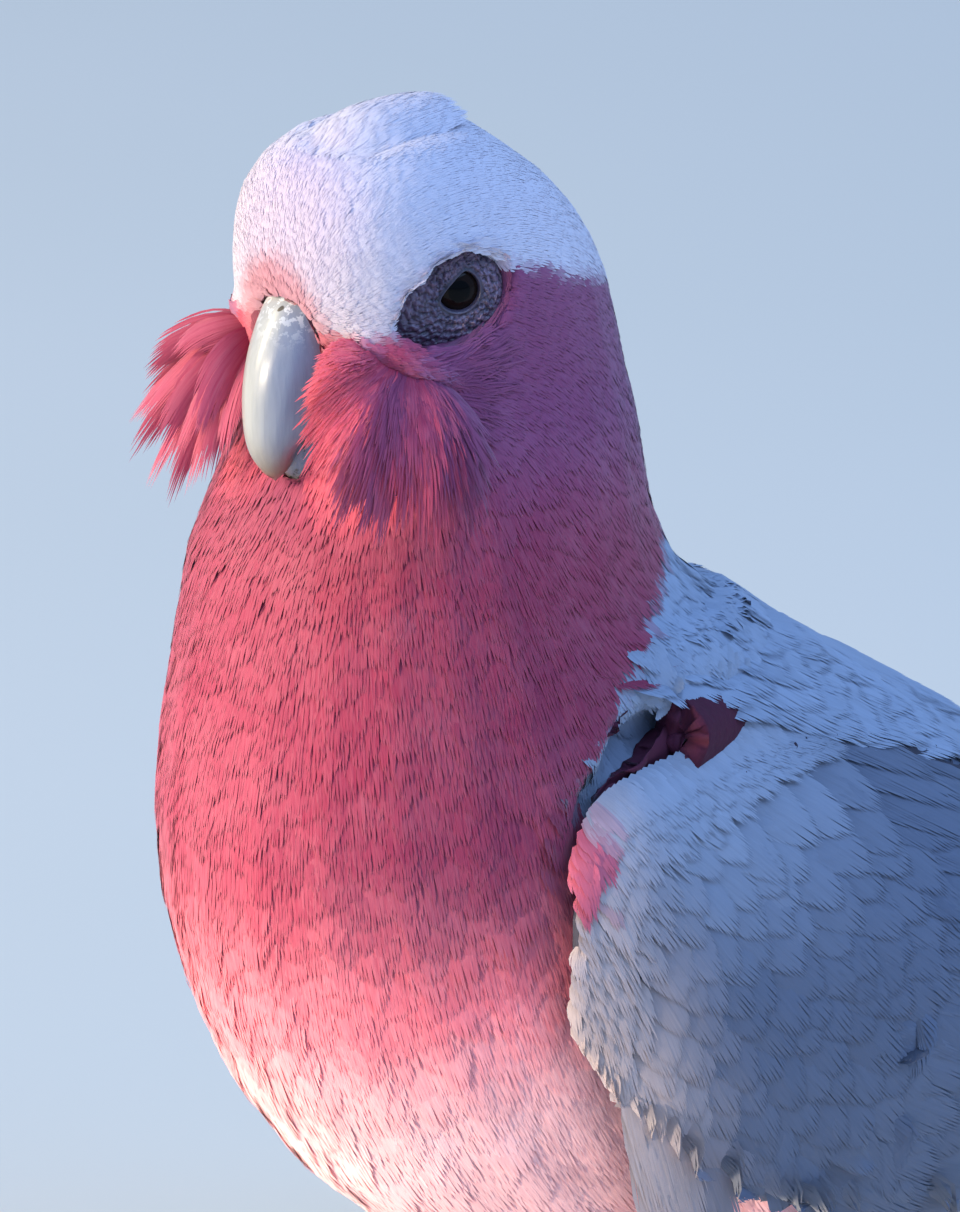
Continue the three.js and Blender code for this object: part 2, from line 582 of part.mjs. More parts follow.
const wings = bothSides(wingRoom());
const neckEnds = { from: HEAD_END + SLICE_GAP, to: NECK_END - SLICE_GAP, rings: 2, around: 24 };
const neck = sliceLoft(BODY_SLICES, neckEnds);
add("neck", without(neck, capeRoom), "rose_pink");
const trunkEnds = { from: NECK_END + SLICE_GAP, rings: 12, around: 24 };
add("trunk", without(sliceLoft(BODY_SLICES, trunkEnds), ...wings, capeRoom, tailRoom()), "rose_pink");
add("mantle", mantle(), "wing_grey");

const wingParts = [
  { name: "coverts", from: 0, to: WING_PARTS.coverts, tips: 5, slot: "wing_grey" },
  { name: "secondaries", from: WING_PARTS.coverts, to: WING_PARTS.secondaries, tips: 5, slot: "wing_grey" },
  { name: "primaries", from: WING_PARTS.secondaries, to: 1, tips: 0, slot: "flight_grey" },
];
for (const { name, from, to, tips, slot } of wingParts) {
  addPair("wing_%s_" + name, without(wingPart(from, to, tips), capeRoom, tailRoom()), slot);
}

const tailGap = GAP / 2 / TAIL.rootHalf;
add("tail_centre", tailPart(TAIL.centreFrom, TAIL.centreTo, 2, TAIL.centreLift), "wing_grey");
add("tail_left", tailPart(0, TAIL.centreFrom - tailGap, 4, TAIL.sideLift), "flight_grey");
add("tail_right", tailPart(TAIL.centreTo + tailGap, 1, 4, TAIL.sideLift), "flight_grey");

const bodyRoom = sliceLoft(BODY_SLICES, { ...trunkEnds, grow: GAP });
addPair("thigh_%s", without(thigh(), bodyRoom, wingRoom()), "rose_pink");
addPair("shank_%s", without(shank(), thigh(GAP)), "leg_scale");
addPair("foot_%s", without(foot(), shank(GAP)), "leg_scale");
for (const spec of TOES) {
  addPair("claw_%s_" + spec.name, claw(spec), "claw_horn");
}

const box = new THREE.Box3().setFromObject(galah);
galah.position.set(0, -(box.min.y + box.max.y) / 2, -box.min.z);

export default galah;
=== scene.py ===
"""Dresses the galah's solids with its skin, bill, eyes, legs and feathers, and sets it on a plain pale stage.

Places and sizes are in millimetres in the bird's own frame: x to its left, y backwards from the root of the
bill, z up from the ground. Meshes are in metres in the frame of the solids.
"""

import functools
import math

import bmesh
import bpy
import numpy as np
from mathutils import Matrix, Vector
from mathutils.bvhtree import BVHTree
from mathutils.kdtree import KDTree


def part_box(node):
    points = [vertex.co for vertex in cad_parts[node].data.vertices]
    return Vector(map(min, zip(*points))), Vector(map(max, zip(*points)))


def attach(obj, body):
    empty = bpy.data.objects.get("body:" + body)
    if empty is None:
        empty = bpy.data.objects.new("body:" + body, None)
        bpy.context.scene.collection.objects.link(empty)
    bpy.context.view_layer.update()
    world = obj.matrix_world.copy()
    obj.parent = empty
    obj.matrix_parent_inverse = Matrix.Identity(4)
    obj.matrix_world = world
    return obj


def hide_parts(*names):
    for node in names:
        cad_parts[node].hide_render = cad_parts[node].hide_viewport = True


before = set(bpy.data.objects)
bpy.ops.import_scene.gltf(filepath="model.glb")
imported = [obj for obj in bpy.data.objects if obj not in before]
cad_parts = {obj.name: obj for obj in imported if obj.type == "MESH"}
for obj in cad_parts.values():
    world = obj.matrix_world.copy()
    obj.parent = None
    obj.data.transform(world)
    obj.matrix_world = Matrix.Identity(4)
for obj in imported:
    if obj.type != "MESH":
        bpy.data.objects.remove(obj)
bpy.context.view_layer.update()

bl_info = {
    "name": "Galah",
    "version": (1, 0, 0),
    "blender": (4, 5, 0),
    "location": "3D View > Sidebar > Galah",
    "description": "Dresses the solids of a standing galah with skin, bill, eyes, legs and feathers",
    "category": "Object",
}

MM = 0.001

# The bird's frame.

EYE_FROM_BILL = 17.6  # how far behind the root of the bill the eyes are
LEFT_EYE_BOX = [np.array(corner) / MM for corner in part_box("eye_left")]
LEFT_EYE = (LEFT_EYE_BOX[0] + LEFT_EYE_BOX[1]) / 2
BILL_ROOT_Y = LEFT_EYE[1] - EYE_FROM_BILL
EYE = np.array([LEFT_EYE[0], EYE_FROM_BILL, LEFT_EYE[2]])
EYE_RADIUS = (LEFT_EYE_BOX[1][2] - LEFT_EYE_BOX[0][2]) / 2
EYE_TURN = math.radians(25)  # how far forwards the eyes are turned
# The bare ring, as a drop drawn out forwards and down: its reach each way, its slant and its middle.
EYE_RING = {
    "ahead": 11.8, "behind": 8.0, "height": 6.8, "slant": math.radians(22), "forwards": 1.5, "down": 1.0,
}
EYE_FORWARDS = np.array([-math.sin(EYE_TURN), -math.cos(EYE_TURN), 0])
SIDES = ((1, "left"), (-1, "right"))


def to_frame(places):
    """Metres in the solids' frame from millimetres in the bird's."""
    return (np.asarray(places, float) + [0, BILL_ROOT_Y, 0]) * MM


def to_bird(places):
    """Millimetres in the bird's frame from metres in the solids'."""
    return np.asarray(places, float) / MM - [0, BILL_ROOT_Y, 0]


# Lie of the coat.

# Guides over one half of the body: the place, the way the feathers lie there, how long they are, how far apart
# their roots are, and how far the guide holds.
GUIDES = [
    ((0, -3.5, 199), (0, 0.1, 1), 3.4, 1.0, 5), ((8, -2, 198), (0.5, 0.15, 0.85), 3.4, 1.0, 5),
    ((14, 0, 195), (0.7, 0.35, 0.6), 3.4, 1.05, 6), ((13, 0, 186), (0.65, 0.7, 0.05), 3.2, 1.0, 5),
    ((11, 0, 182), (0.5, 0.6, -0.5), 3.4, 1.1, 5), ((0, 0, 207), (0, 0.45, 1), 4, 1.15, 7),
    ((12, 3, 205), (0.35, 0.5, 0.8), 4, 1.15, 7), ((0, 16, 216), (0, 1, 0.05), 4.6, 1.35, 9),
    ((14, 14, 210), (0.12, 1, 0.1), 4.6, 1.3, 8), ((20, 14, 202), (0.1, 1, 0.12), 4, 1.2, 7),
    ((0, 32, 208), (0, 0.9, -0.45), 6, 1.6, 9), ((18, 30, 203), (0, 0.95, -0.35), 4.6, 1.4, 9),
    ((0, 44, 198), (0, 0.5, -0.85), 6.5, 1.8, 10), ((22, 32, 190), (0, 0.92, -0.4), 4.6, 1.4, 9),
    ((21, 20, 181), (0.1, 0.9, -0.35), 4.5, 1.3, 6), ((23, 34, 178), (0, 0.72, -0.7), 6, 1.5, 9),
    ((0, 52, 182), (0, 0.2, -1), 7.5, 2, 11), ((24, 30, 166), (0, 0.5, -0.85), 8, 1.9, 9),
    ((24, 44, 165), (0, 0.4, -0.92), 8, 1.9, 10), ((0, 57, 162), (0, 0.3, -0.95), 9, 2.3, 12),
    ((0, -5, 160), (0, -0.05, -1), 7, 1.6, 8), ((12, -2, 160), (0.08, 0, -1), 7, 1.6, 8),
    ((26, 14, 156), (0.05, 0.1, -1), 8.5, 2.0, 9), ((0, -10, 147), (0, -0.12, -1), 9.5, 2.1, 10),
    ((26, 10, 140), (0.1, 0.12, -1), 10.5, 2.3, 13), ((30, 40, 145), (0, 0.45, -0.9), 10, 2.4, 12),
    ((0, 68, 142), (0, 0.72, -0.7), 15, 4.2, 14), ((34, 45, 125), (0, 0.75, -0.65), 13, 3.6, 12),
    ((0, -15, 125), (0, -0.05, -1), 12, 2.5, 15), ((28, -2, 120), (0.1, 0.1, -1), 12, 2.5, 15),
    ((0, -17, 105), (0, 0.02, -1), 13, 2.7, 15), ((34, 10, 100), (0.05, 0.25, -0.97), 13, 2.7, 15),
    ((0, -12, 84), (0, 0.25, -0.97), 14, 2.9, 15), ((32, 18, 76), (0, 0.45, -0.9), 15, 3.0, 15),
    ((0, 2, 60), (0, 0.55, -0.83), 15, 3.2, 15), ((25, 25, 55), (0, 0.6, -0.8), 15, 3.2, 15),
    ((0, 30, 39), (0, 0.85, -0.5), 15, 3.3, 15), ((0, 60, 32), (0, 1, -0.02), 14, 3.3, 16),
    ((33, 60, 72), (0, 0.8, -0.6), 15, 3.4, 16), ((25, 64, 46), (0, 0.3, -0.95), 10, 2.5, 9),
    ((22, 72, 34), (0, 0.25, -0.97), 7, 1.8, 7), ((0, 95, 39), (0, 0.95, 0.3), 15, 3.4, 16),
    ((0, 130, 51), (0, 0.95, 0.3), 19, 3.8, 18), ((0, 95, 121), (0, 0.86, -0.5), 21, 5.6, 18),
    ((0, 125, 104), (0, 0.9, -0.42), 21, 5.6, 18), ((0, 155, 83), (0, 0.92, -0.4), 24, 5.8, 18),
    ((30, 105, 85), (0, 0.95, -0.3), 20, 5.4, 20),
]
GUIDE_PLACES = np.array([g[0] for g in GUIDES], float)
GUIDE_WAYS = np.array([g[1] for g in GUIDES], float)
GUIDE_SIZES = np.array([g[2:4] for g in GUIDES], float)
GUIDE_REACH = np.array([g[4] for g in GUIDES], float)


def unit(vectors):
    return vectors / np.maximum(np.linalg.norm(vectors, axis=-1, keepdims=True), 1e-9)


def one_half(places):
    """The places, with those on the right side brought over to the left."""
    half = np.array(places)
    half[:, 0] = np.abs(half[:, 0])
    return half


def round_about(count):
    """Even turns all the way round."""
    return np.linspace(0, 2 * np.pi, count, endpoint=False)


def square_to(vectors, axes, share=1.0):
    """Vectors with this share of their part along the axes taken out, one long."""
    return unit(vectors - axes * (vectors * axes).sum(-1, keepdims=True) * share)


def guided(places):
    """The way the coat lies at each place, with the length and spacing of its feathers."""
    apart = np.linalg.norm(one_half(places)[:, None] - GUIDE_PLACES[None], axis=2) / GUIDE_REACH
    weight = np.exp(-apart ** 2 / 2) / GUIDE_REACH + 1e-12 / (1 + apart ** 4)
    weight /= weight.sum(1, keepdims=True)
    way = weight @ GUIDE_WAYS
    way[:, 0] *= np.sign(places[:, 0])
    return unit(way), weight @ GUIDE_SIZES


# Curves and surfaces.

def through(points, shares):
    """Points on a smooth curve through the given ones. Shares run from 0 at the first to 1 at the last."""
    p = np.asarray(points, float)
    p = np.vstack([2 * p[:1] - p[1:2], p, 2 * p[-1:] - p[-2:-1]])
    at = np.clip(np.asarray(shares, float), 0, 1) * (len(p) - 3)
    i = np.minimum(at.astype(int), len(p) - 4)
    t = (at - i)[..., None]
    a, b, c, d = p[i], p[i + 1], p[i + 2], p[i + 3]
    bends = (2 * a - 5 * b + 4 * c - d) * t ** 2 + (3 * b - a - 3 * c + d) * t ** 3
    return 0.5 * (2 * b + (c - a) * t + bends)


def face_normals(corners):
    """Normals of triangles, each as long as twice its area."""
    return np.cross(corners[:, 1] - corners[:, 0], corners[:, 2] - corners[:, 0])


def vertex_normals(points, triangles):
    normals = face_normals(points[triangles])
    total = np.zeros_like(points)
    for k in range(3):
        np.add.at(total, triangles[:, k], normals)
    return unit(total)


class Surface:
    """A triangle surface in the bird's frame that feathers can be laid over."""

    def __init__(self, points, triangles):
        self.points = points
        self.triangles = triangles
        self.normals = vertex_normals(points, triangles)
        self.tree = BVHTree.FromPolygons(points.tolist(), triangles.tolist())

    def nearest(self, places):
        """The nearest points of the surface, with its smooth normals there."""
        found = [self.tree.find_nearest(place) for place in places.tolist()]
        points = np.array([hit[0] for hit in found])
        corners = self.triangles[[hit[2] for hit in found]]
        apart = np.linalg.norm(self.points[corners] - points[:, None], axis=2)
        weight = 1 / (apart + 0.05)
        normals = (self.normals[corners] * weight[..., None]).sum(1)
        return points, unit(normals)

    def scatter(self, spacing, wanted, seed):
        """Places spread evenly at random, spacing(places) apart, where wanted(places) is true."""
        rng = np.random.default_rng(seed)
        corners = self.points[self.triangles]
        kept = wanted(corners.mean(1))
        corners = corners[kept]
        areas = np.linalg.norm(face_normals(corners), axis=1) / 2
        density = areas / spacing(corners.mean(1)) ** 2
        tries = int(density.sum() * 5)
        chosen = rng.choice(len(corners), tries, p=density / density.sum())
        a, b = rng.random((2, tries, 1))
        over = (a + b) > 1
        a, b = np.where(over, 1 - a, a), np.where(over, 1 - b, b)
        places = corners[chosen, 0] * (1 - a - b) + corners[chosen, 1] * a + corners[chosen, 2] * b
        places = places[wanted(places)]
        apart = spacing(places)
        tree = KDTree(len(places))
        for i, place in enumerate(places.tolist()):
            tree.insert(place, i)
        tree.balance()
        free = np.ones(len(places), bool)
        taken = []
        for i, place in enumerate(places.tolist()):
            if free[i]:
                taken.append(i)
                for _, j, _ in tree.find_range(place, apart[i] * 0.86):
                    free[j] = False
        return places[taken]


def mesh_arrays(mesh):
    mesh.calc_loop_triangles()
    points = np.empty(len(mesh.vertices) * 3)
    mesh.vertices.foreach_get("co", points)
    triangles = np.empty(len(mesh.loop_triangles) * 3, np.int32)
    mesh.loop_triangles.foreach_get("vertices", triangles)
    return points.reshape(-1, 3), triangles.reshape(-1, 3)


def joined(pieces):
    """Several sets of points and triangles as one."""
    firsts = np.cumsum([0] + [len(points) for points, _ in pieces])
    triangles = [corners + first for (_, corners), first in zip(pieces, firsts)]
    return np.concatenate([points for points, _ in pieces]), np.concatenate(triangles)


def hull_over(nodes, swell=0.4, voxel=1.0, smoothing=6):
    """One smooth closed surface over several solids, in the bird's frame, as points and triangles."""
    shape = bmesh.new()
    for node in nodes:
        shape.from_mesh(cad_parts[node].data)
    bmesh.ops.remove_doubles(shape, verts=shape.verts, dist=1e-5)
    mesh = bpy.data.meshes.new("hull")
    shape.to_mesh(mesh)
    shape.free()
    hull = placed("hull", mesh)
    grow = hull.modifiers.new("swell", "DISPLACE")
    grow.strength = swell * MM
    grow.mid_level = 0
    join = hull.modifiers.new("join", "REMESH")
    join.mode = "VOXEL"
    join.voxel_size = voxel * MM
    soften = hull.modifiers.new("soften", "SMOOTH")
    soften.factor = 0.5
    soften.iterations = smoothing
    seen = hull.evaluated_get(bpy.context.evaluated_depsgraph_get())
    points, triangles = mesh_arrays(seen.to_mesh())
    seen.to_mesh_clear()
    bpy.data.objects.remove(hull)
    bpy.data.meshes.remove(mesh)
    return to_bird(points), triangles


# Meshes.

def placed(name, data):
    """An object in the scene with this mesh, camera or lamp."""
    made = bpy.data.objects.new(name, data)
    bpy.context.scene.collection.objects.link(made)
    return made


def new_object(name, points, triangles, material):
    """A mesh object from millimetres in the bird's frame."""
    mesh = bpy.data.meshes.new(name)
    mesh.vertices.add(len(points))
    mesh.vertices.foreach_set("co", to_frame(points).astype(np.float32).ravel())
    mesh.loops.add(triangles.size)
    mesh.loops.foreach_set("vertex_index", triangles.astype(np.int32).ravel())
    mesh.polygons.add(len(triangles))
    mesh.polygons.foreach_set("loop_start", np.arange(0, triangles.size, triangles.shape[1], dtype=np.int32))
    mesh.polygons.foreach_set("use_smooth", np.full(len(triangles), True))
    mesh.update(calc_edges=True)
    mesh.materials.append(material)
    return placed(name, mesh)


def dressed(piece, slot, *nodes):
    """Fixes a piece to the bird, in the place of the solids that it covers."""
    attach(piece, "root")
    if nodes:
        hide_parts(*nodes)


def add_uv(mesh, name, by_vertex, triangles):
    layer = mesh.uv_layers.new(name=name)
    layer.data.foreach_set("uv", by_vertex[triangles.ravel()].astype(np.float32).ravel())


def add_attribute(mesh, name, values):
    """Keeps a number or a vector at each point of a mesh."""
    kind, key = ("FLOAT", "value") if values.ndim == 1 else ("FLOAT_VECTOR", "vector")
    layer = mesh.attributes.new(name, kind, "POINT")
    layer.data.foreach_set(key, values.astype(np.float32).ravel())


# Feathers.

PATCH = 0.003  # size of one feather's patch on the baking map
EMERGING = 2.4  # how soon along its length a feather comes out of the coat


def laid(surface, roots, lengths, depth, rise, steps=4, ways=None):
    """The midline of each feather: from its root, sunk in the coat, along the surface to its tip."""
    place, normal = surface.nearest(roots)
    way = guided(place)[0] if ways is None else ways
    way = square_to(way, normal)
    line, headings, normals = [place], [way], [normal]
    stride = (lengths / steps)[:, None]
    for _ in range(steps):
        place, normal = surface.nearest(place + way * stride)
        if ways is None:
            way = guided(place)[0]
        way = square_to(way, normal)
        line.append(place)
        headings.append(way)
        normals.append(normal)
    line, headings, normals = (np.stack(parts, 1) for parts in (line, headings, normals))
    share = np.linspace(0, 1, steps + 1)
    height = np.reshape(rise, (-1, 1)) * share ** 1.5 - np.reshape(depth, (-1, 1)) * (1 - share) ** EMERGING
    return line + normals * height[..., None], headings, normals


def along(values, shares):
    """Values kept at even steps along each feather, read at any share of its length."""
    last = values.shape[1] - 1
    at = np.clip(shares, 0, 1) * last
    i = np.minimum(at.astype(int), last - 1)
    f = (at - i)[..., None]
    row = np.arange(len(values)).reshape((-1,) + (1,) * (shares.ndim - 1))
    return values[row, i] * (1 - f) + values[row, i + 1] * f


def locks(midlines, width, rng, count=13, steps=4, narrow=0.35, rounding=0.35, ragged=0.1, cup=0.06,
          stray=0.03, lift=0.02, overlap=1.7, tilt=0.05, crown=0.15):
    """Soft feathers, each a fan of tapering strands that part at their tips."""
    line, ways, normals = midlines
    n = len(line)
    width = np.broadcast_to(width, n).reshape(n, 1, 1)
    q = np.linspace(-1, 1, count)[None] + rng.uniform(-0.6, 0.6, (n, count)) / count
    reach = 1 - rounding * q ** 2 - ragged * rng.random((n, count))
    share = np.append(np.linspace(0, 0.88, steps), 1)
    at = reach[..., None] * share
    centre, way, normal = along(line, at), unit(along(ways, at)), unit(along(normals, at))
    side = unit(np.cross(normal, way))
    opened = narrow + (1 - narrow) * np.sin(np.pi / 2 * np.minimum(1, share * 1.7))
    wander = stray * rng.normal(size=(n, count, 1)) * share ** 2
    across = (q[..., None] * opened + wander) * width
    up = (lift * (rng.random((n, count, 1)) - 0.3) * share ** 2 - cup * q[..., None] ** 2 * opened) * width
    centre = centre + side * across[..., None] + normal * up[..., None]
    slim = np.interp(share, [0, 0.3, 0.8, 1], [0.7, 1, 0.85, 0]) * overlap / count
    half = (slim * width)[..., None]
    roll = rng.normal(0, tilt, (n, count, 1, 1))
    edge = side * np.cos(roll) + normal * np.sin(roll)
    pairs = np.stack([centre - edge * half, centre + edge * half], 3)[:, :, :-1]
    tips = centre[:, :, -1]
    points = np.concatenate([pairs.reshape(n, count, -1, 3), tips[:, :, None]], 2)
    corner_share = np.append(np.repeat(share[:-1], 2), 1)
    corner_side = np.append(np.tile([-1, 1], steps), 0) / count
    vane_u = np.clip((q[..., None] + corner_side) / 2 + 0.5, 0, 1)
    vane_v = np.broadcast_to(corner_share, vane_u.shape)
    bowed = unit(normal + side * (crown * q[..., None] * opened)[..., None])
    facing = np.concatenate([np.repeat(bowed[:, :, :-1], 2, 2), bowed[:, :, -1:]], 2)
    strand = []
    for j in range(steps - 1):
        a, b, c, d = 2 * j, 2 * j + 2, 2 * j + 3, 2 * j + 1
        strand += [[a, b, c], [a, c, d]]
    strand.append([2 * steps - 2, 2 * steps, 2 * steps - 1])
    starts = np.arange(n * count)[:, None, None] * (2 * steps + 1)
    triangles = (starts + np.array(strand)[None]).reshape(-1, 3)
    feather = np.repeat(np.arange(n), count * (2 * steps + 1))
    vane = np.stack([vane_u.ravel(), vane_v.ravel()], 1)
    return points.reshape(-1, 3), triangles, vane, feather, facing.reshape(-1, 3)


def vanes(midlines, width, rng, columns=11, rows=16, cup=0.1, tip=0.09, ragged=0.006, root=0.5, crown=0.45):
    """Firm feathers, each one cupped vane with a round tip."""
    line, ways, normals = midlines
    n = len(line)
    width = np.broadcast_to(width, n).reshape(n, 1, 1)
    q = np.linspace(-1, 1, columns)[None, :, None]
    share = np.linspace(0, 1, rows)[None, None, :] ** 0.9
    reach = 1 - tip * (1 - np.sqrt(np.clip(1 - q ** 2, 0, 1))) - ragged * rng.random((n, columns, 1))
    at = np.broadcast_to(reach * share, (n, columns, rows))
    centre, way, normal = along(line, at), unit(along(ways, at)), unit(along(normals, at))
    side = unit(np.cross(normal, way))
    opened = root + (1 - root) * np.sin(np.pi / 2 * np.minimum(1, at * 2.2))
    across = q * opened * width
    up = -cup * np.abs(q) ** 1.6 * opened * width
    points = centre + side * across[..., None] + normal * up[..., None]
    i, j = np.meshgrid(np.arange(columns - 1), np.arange(rows - 1), indexing="ij")
    a = (i * rows + j).ravel()
    cell = np.stack([a, a + 1, a + rows + 1, a, a + rows + 1, a + rows], 1).reshape(-1, 3)
    triangles = (np.arange(n)[:, None, None] * (columns * rows) + cell[None]).reshape(-1, 3)
    vane = np.stack(np.broadcast_arrays((q + 1) / 2, at), -1).reshape(-1, 2)
    facing = unit(normal + side * np.broadcast_to(crown * q * opened, at.shape)[..., None])
    feather = np.repeat(np.arange(n), columns * rows)
    return points.reshape(-1, 3), triangles, vane, feather, facing.reshape(-1, 3)


def feathered(kind, midlines, width, rng, **style):
    """A set of feathers, with the root of each and the place whose markings its open part shows."""
    line = midlines[0]
    shown = round(0.7 * (line.shape[1] - 1))
    return (*kind(midlines, width, rng, **style), line[:, 0], line[:, shown])


# The middle line of the body from the crown to the tip of the tail.
SPINE = [
    (0, 20, 215), (0, 24, 190), (0, 28, 160), (0, 36, 125), (0, 60, 95), (0, 100, 78), (0, 160, 65),
    (0, 280, 12),
]


def unwrapped(places):
    """The place of each root on an unwrap of the body: round its middle line, and along it."""
    spine = np.array(SPINE)
    steps = np.linalg.norm(np.diff(spine, axis=0), axis=1)
    reached = np.append(0, np.cumsum(steps))
    best, distance = np.zeros(len(places)), np.full(len(places), np.inf)
    offset = np.zeros_like(places)
    for start, end, length, before in zip(spine[:-1], spine[1:], steps, reached):
        t = np.clip((places - start) @ (end - start) / length ** 2, 0, 1)
        gap = places - (start + t[:, None] * (end - start))
        far = np.linalg.norm(gap, axis=1)
        nearer = far < distance
        best = np.where(nearer, before + t * length, best)
        offset = np.where(nearer[:, None], gap, offset)
        distance = np.where(nearer, far, distance)
    turn = np.arctan2(offset[:, 0], -offset[:, 1] - offset[:, 2] * 0.3)
    return np.stack([turn / (2 * np.pi) + 0.5, best / reached[-1]], 1)


def coat_object(name, sets, material, slot, *nodes):
    """One piece of the coat from sets of feathers, as feathered() makes them."""
    rng = np.random.default_rng(len(name))
    points, triangles = joined([feathers[:2] for feathers in sets])
    facing, vane, marked, tone, patch = [], [], [], [], []
    for _, _, part_vane, feather, part_facing, roots, shown in sets:
        facing.append(part_facing)
        vane.append(part_vane)
        marked.append(to_frame(shown)[feather])
        tone.append(rng.random(len(roots))[feather])
        patch.append(unwrapped(roots)[feather] + (part_vane - 0.5) * PATCH)
    facing, vane, marked, tone, patch = map(np.concatenate, (facing, vane, marked, tone, patch))
    made = new_object(name, points, triangles, material)
    made.data.normals_split_custom_set_from_vertices(facing.tolist())
    add_uv(made.data, "OFBake", np.clip(patch, 0, 1), triangles)
    add_uv(made.data, "vane", vane, triangles)
    add_attribute(made.data, "marked", marked)
    add_attribute(made.data, "tone", tone)
    dressed(made, slot, *nodes)


# Markings.

# The lower border of the white crown, as y and z.
WHITE_BORDER = [
    (-4, 186.5), (0, 187.2), (4, 188.4), (9, 188.8), (14, 188.5), (21, 196), (34, 193), (48, 188), (60, 186),
]


def white_border(places):
    return np.interp(places[:, 1], *zip(*WHITE_BORDER))


def grey_share(places):
    """Above zero where the back is grey and not pink."""
    x, y, z = places.T
    return np.minimum(y + 0.615 * np.abs(x) - 0.735 * z + 42.6, z + 0.36 * y - 126)


def fed(tree, kind, inputs, **settings):
    """A new node with its settings, and its inputs each set to a value or linked to an output."""
    node = tree.nodes.new(kind)
    for name, value in settings.items():
        setattr(node, name, value)
    for key, value in inputs.items():
        value = getattr(value, "socket", value)
        if isinstance(value, bpy.types.NodeSocket):
            tree.links.new(value, node.inputs[key])
        else:
            node.inputs[key].default_value = value
    return node


def worked(operation):
    """A way to work out a number from another, or from two."""
    return lambda number, *others: number._with(operation, number, *others)


class Sum:
    """A number in a node tree, which can be worked with as a number is."""

    def __init__(self, tree, socket):
        self.tree = tree
        self.socket = socket

    def _with(self, operation, *numbers):
        node = fed(self.tree, "ShaderNodeMath", dict(enumerate(numbers)), operation=operation)
        return Sum(self.tree, node.outputs[0])

    def __rsub__(self, other):
        return self._with("SUBTRACT", other, self)

    def __rtruediv__(self, other):
        return self._with("DIVIDE", other, self)

    __add__ = __radd__ = worked("ADD")
    __sub__ = worked("SUBTRACT")
    __mul__ = __rmul__ = worked("MULTIPLY")
    __truediv__ = worked("DIVIDE")
    power, least, most = worked("POWER"), worked("MINIMUM"), worked("MAXIMUM")
    size, sine = worked("ABSOLUTE"), worked("SINE")

    def between(self, low, high, smooth=True):
        """This number's share of the way from low to high, held between 0 and 1."""
        kind = "SMOOTHSTEP" if smooth else "LINEAR"
        ends = {"Value": self, "From Min": low, "From Max": high}
        return Sum(self.tree, fed(self.tree, "ShaderNodeMapRange", ends, interpolation_type=kind).outputs[0])

    def on_curve(self, table):
        """The height of a smooth curve through a table of places and heights."""
        (low, high), (floor, top) = ((min(column), max(column)) for column in zip(*table))
        node = fed(self.tree, "ShaderNodeFloatCurve", {"Value": self.between(low, high, smooth=False)})
        curve = node.mapping.curves[0]
        for place, height in table:
            point = (place - low) / (high - low), (height - floor) / (top - floor)
            if 0 < point[0] < 1:
                curve.points.new(*point)
            else:
                curve.points[int(point[0])].location = point
        node.mapping.update()
        return Sum(self.tree, node.outputs[0]) * (top - floor) + floor


def srgb(red, green, blue):
    """A shader colour from the usual 0 to 255 values."""
    line = [c / 255 / 12.92 if c <= 10 else ((c / 255 + 0.055) / 1.055) ** 2.4 for c in (red, green, blue)]
    return (*line, 1)


def blended(tree, share, first, second):
    """The first colour where share is 0 and the second where it is 1."""
    return fed(tree, "ShaderNodeMix", {0: share, 6: first, 7: second}, data_type="RGBA").outputs[2]


def noise(tree, vector, scale, detail=2, roughness=0.5):
    inputs = {"Vector": vector, "Scale": scale, "Detail": detail, "Roughness": roughness}
    return Sum(tree, fed(tree, "ShaderNodeTexNoise", inputs).outputs[0])


def numbers_of(tree, vector):
    """The three numbers of a vector."""
    return [Sum(tree, output) for output in fed(tree, "ShaderNodeSeparateXYZ", {0: vector}).outputs]


def bird_place(tree, vector):
    """A place on the bird as three numbers in millimetres, x without its sign."""
    x, y, z = (number * (1 / MM) for number in numbers_of(tree, vector))
    return x.size(), y - BILL_ROOT_Y, z


def new_group(name, inputs, outputs, kind="ShaderNodeTree"):
    """An empty node group with these sockets, and its input and output nodes."""
    tree = bpy.data.node_groups.new(name, kind)
    for way, sockets in (("INPUT", inputs), ("OUTPUT", outputs)):
        for label, socket in sockets.items():
            tree.interface.new_socket(label, in_out=way, socket_type="NodeSocket" + socket)
    return tree, tree.nodes.new("NodeGroupInput"), tree.nodes.new("NodeGroupOutput")


EYE_FOLD = ((14.5, 1.6, 186.6), (20.8, 10.5, 181.9))
SHOULDER_GAP = ((37, 32, 124), (34.5, 60, 126))


def line_distance(tree, place, ends):
    """How far a place, given as three numbers, is from the line between two ends."""
    start, end = (np.array(p, float) for p in ends)
    length = np.linalg.norm(end - start)
    way = ((end - start) / length).tolist()
    gap = [c - float(s) for c, s in zip(place, start)]
    along_line = (gap[0] * way[0] + gap[1] * way[1] + gap[2] * way[2]).most(0).least(float(length))
    off = [(g - along_line * w).power(2) for g, w in zip(gap, way)]
    return (off[0] + off[1] + off[2]).power(0.5)


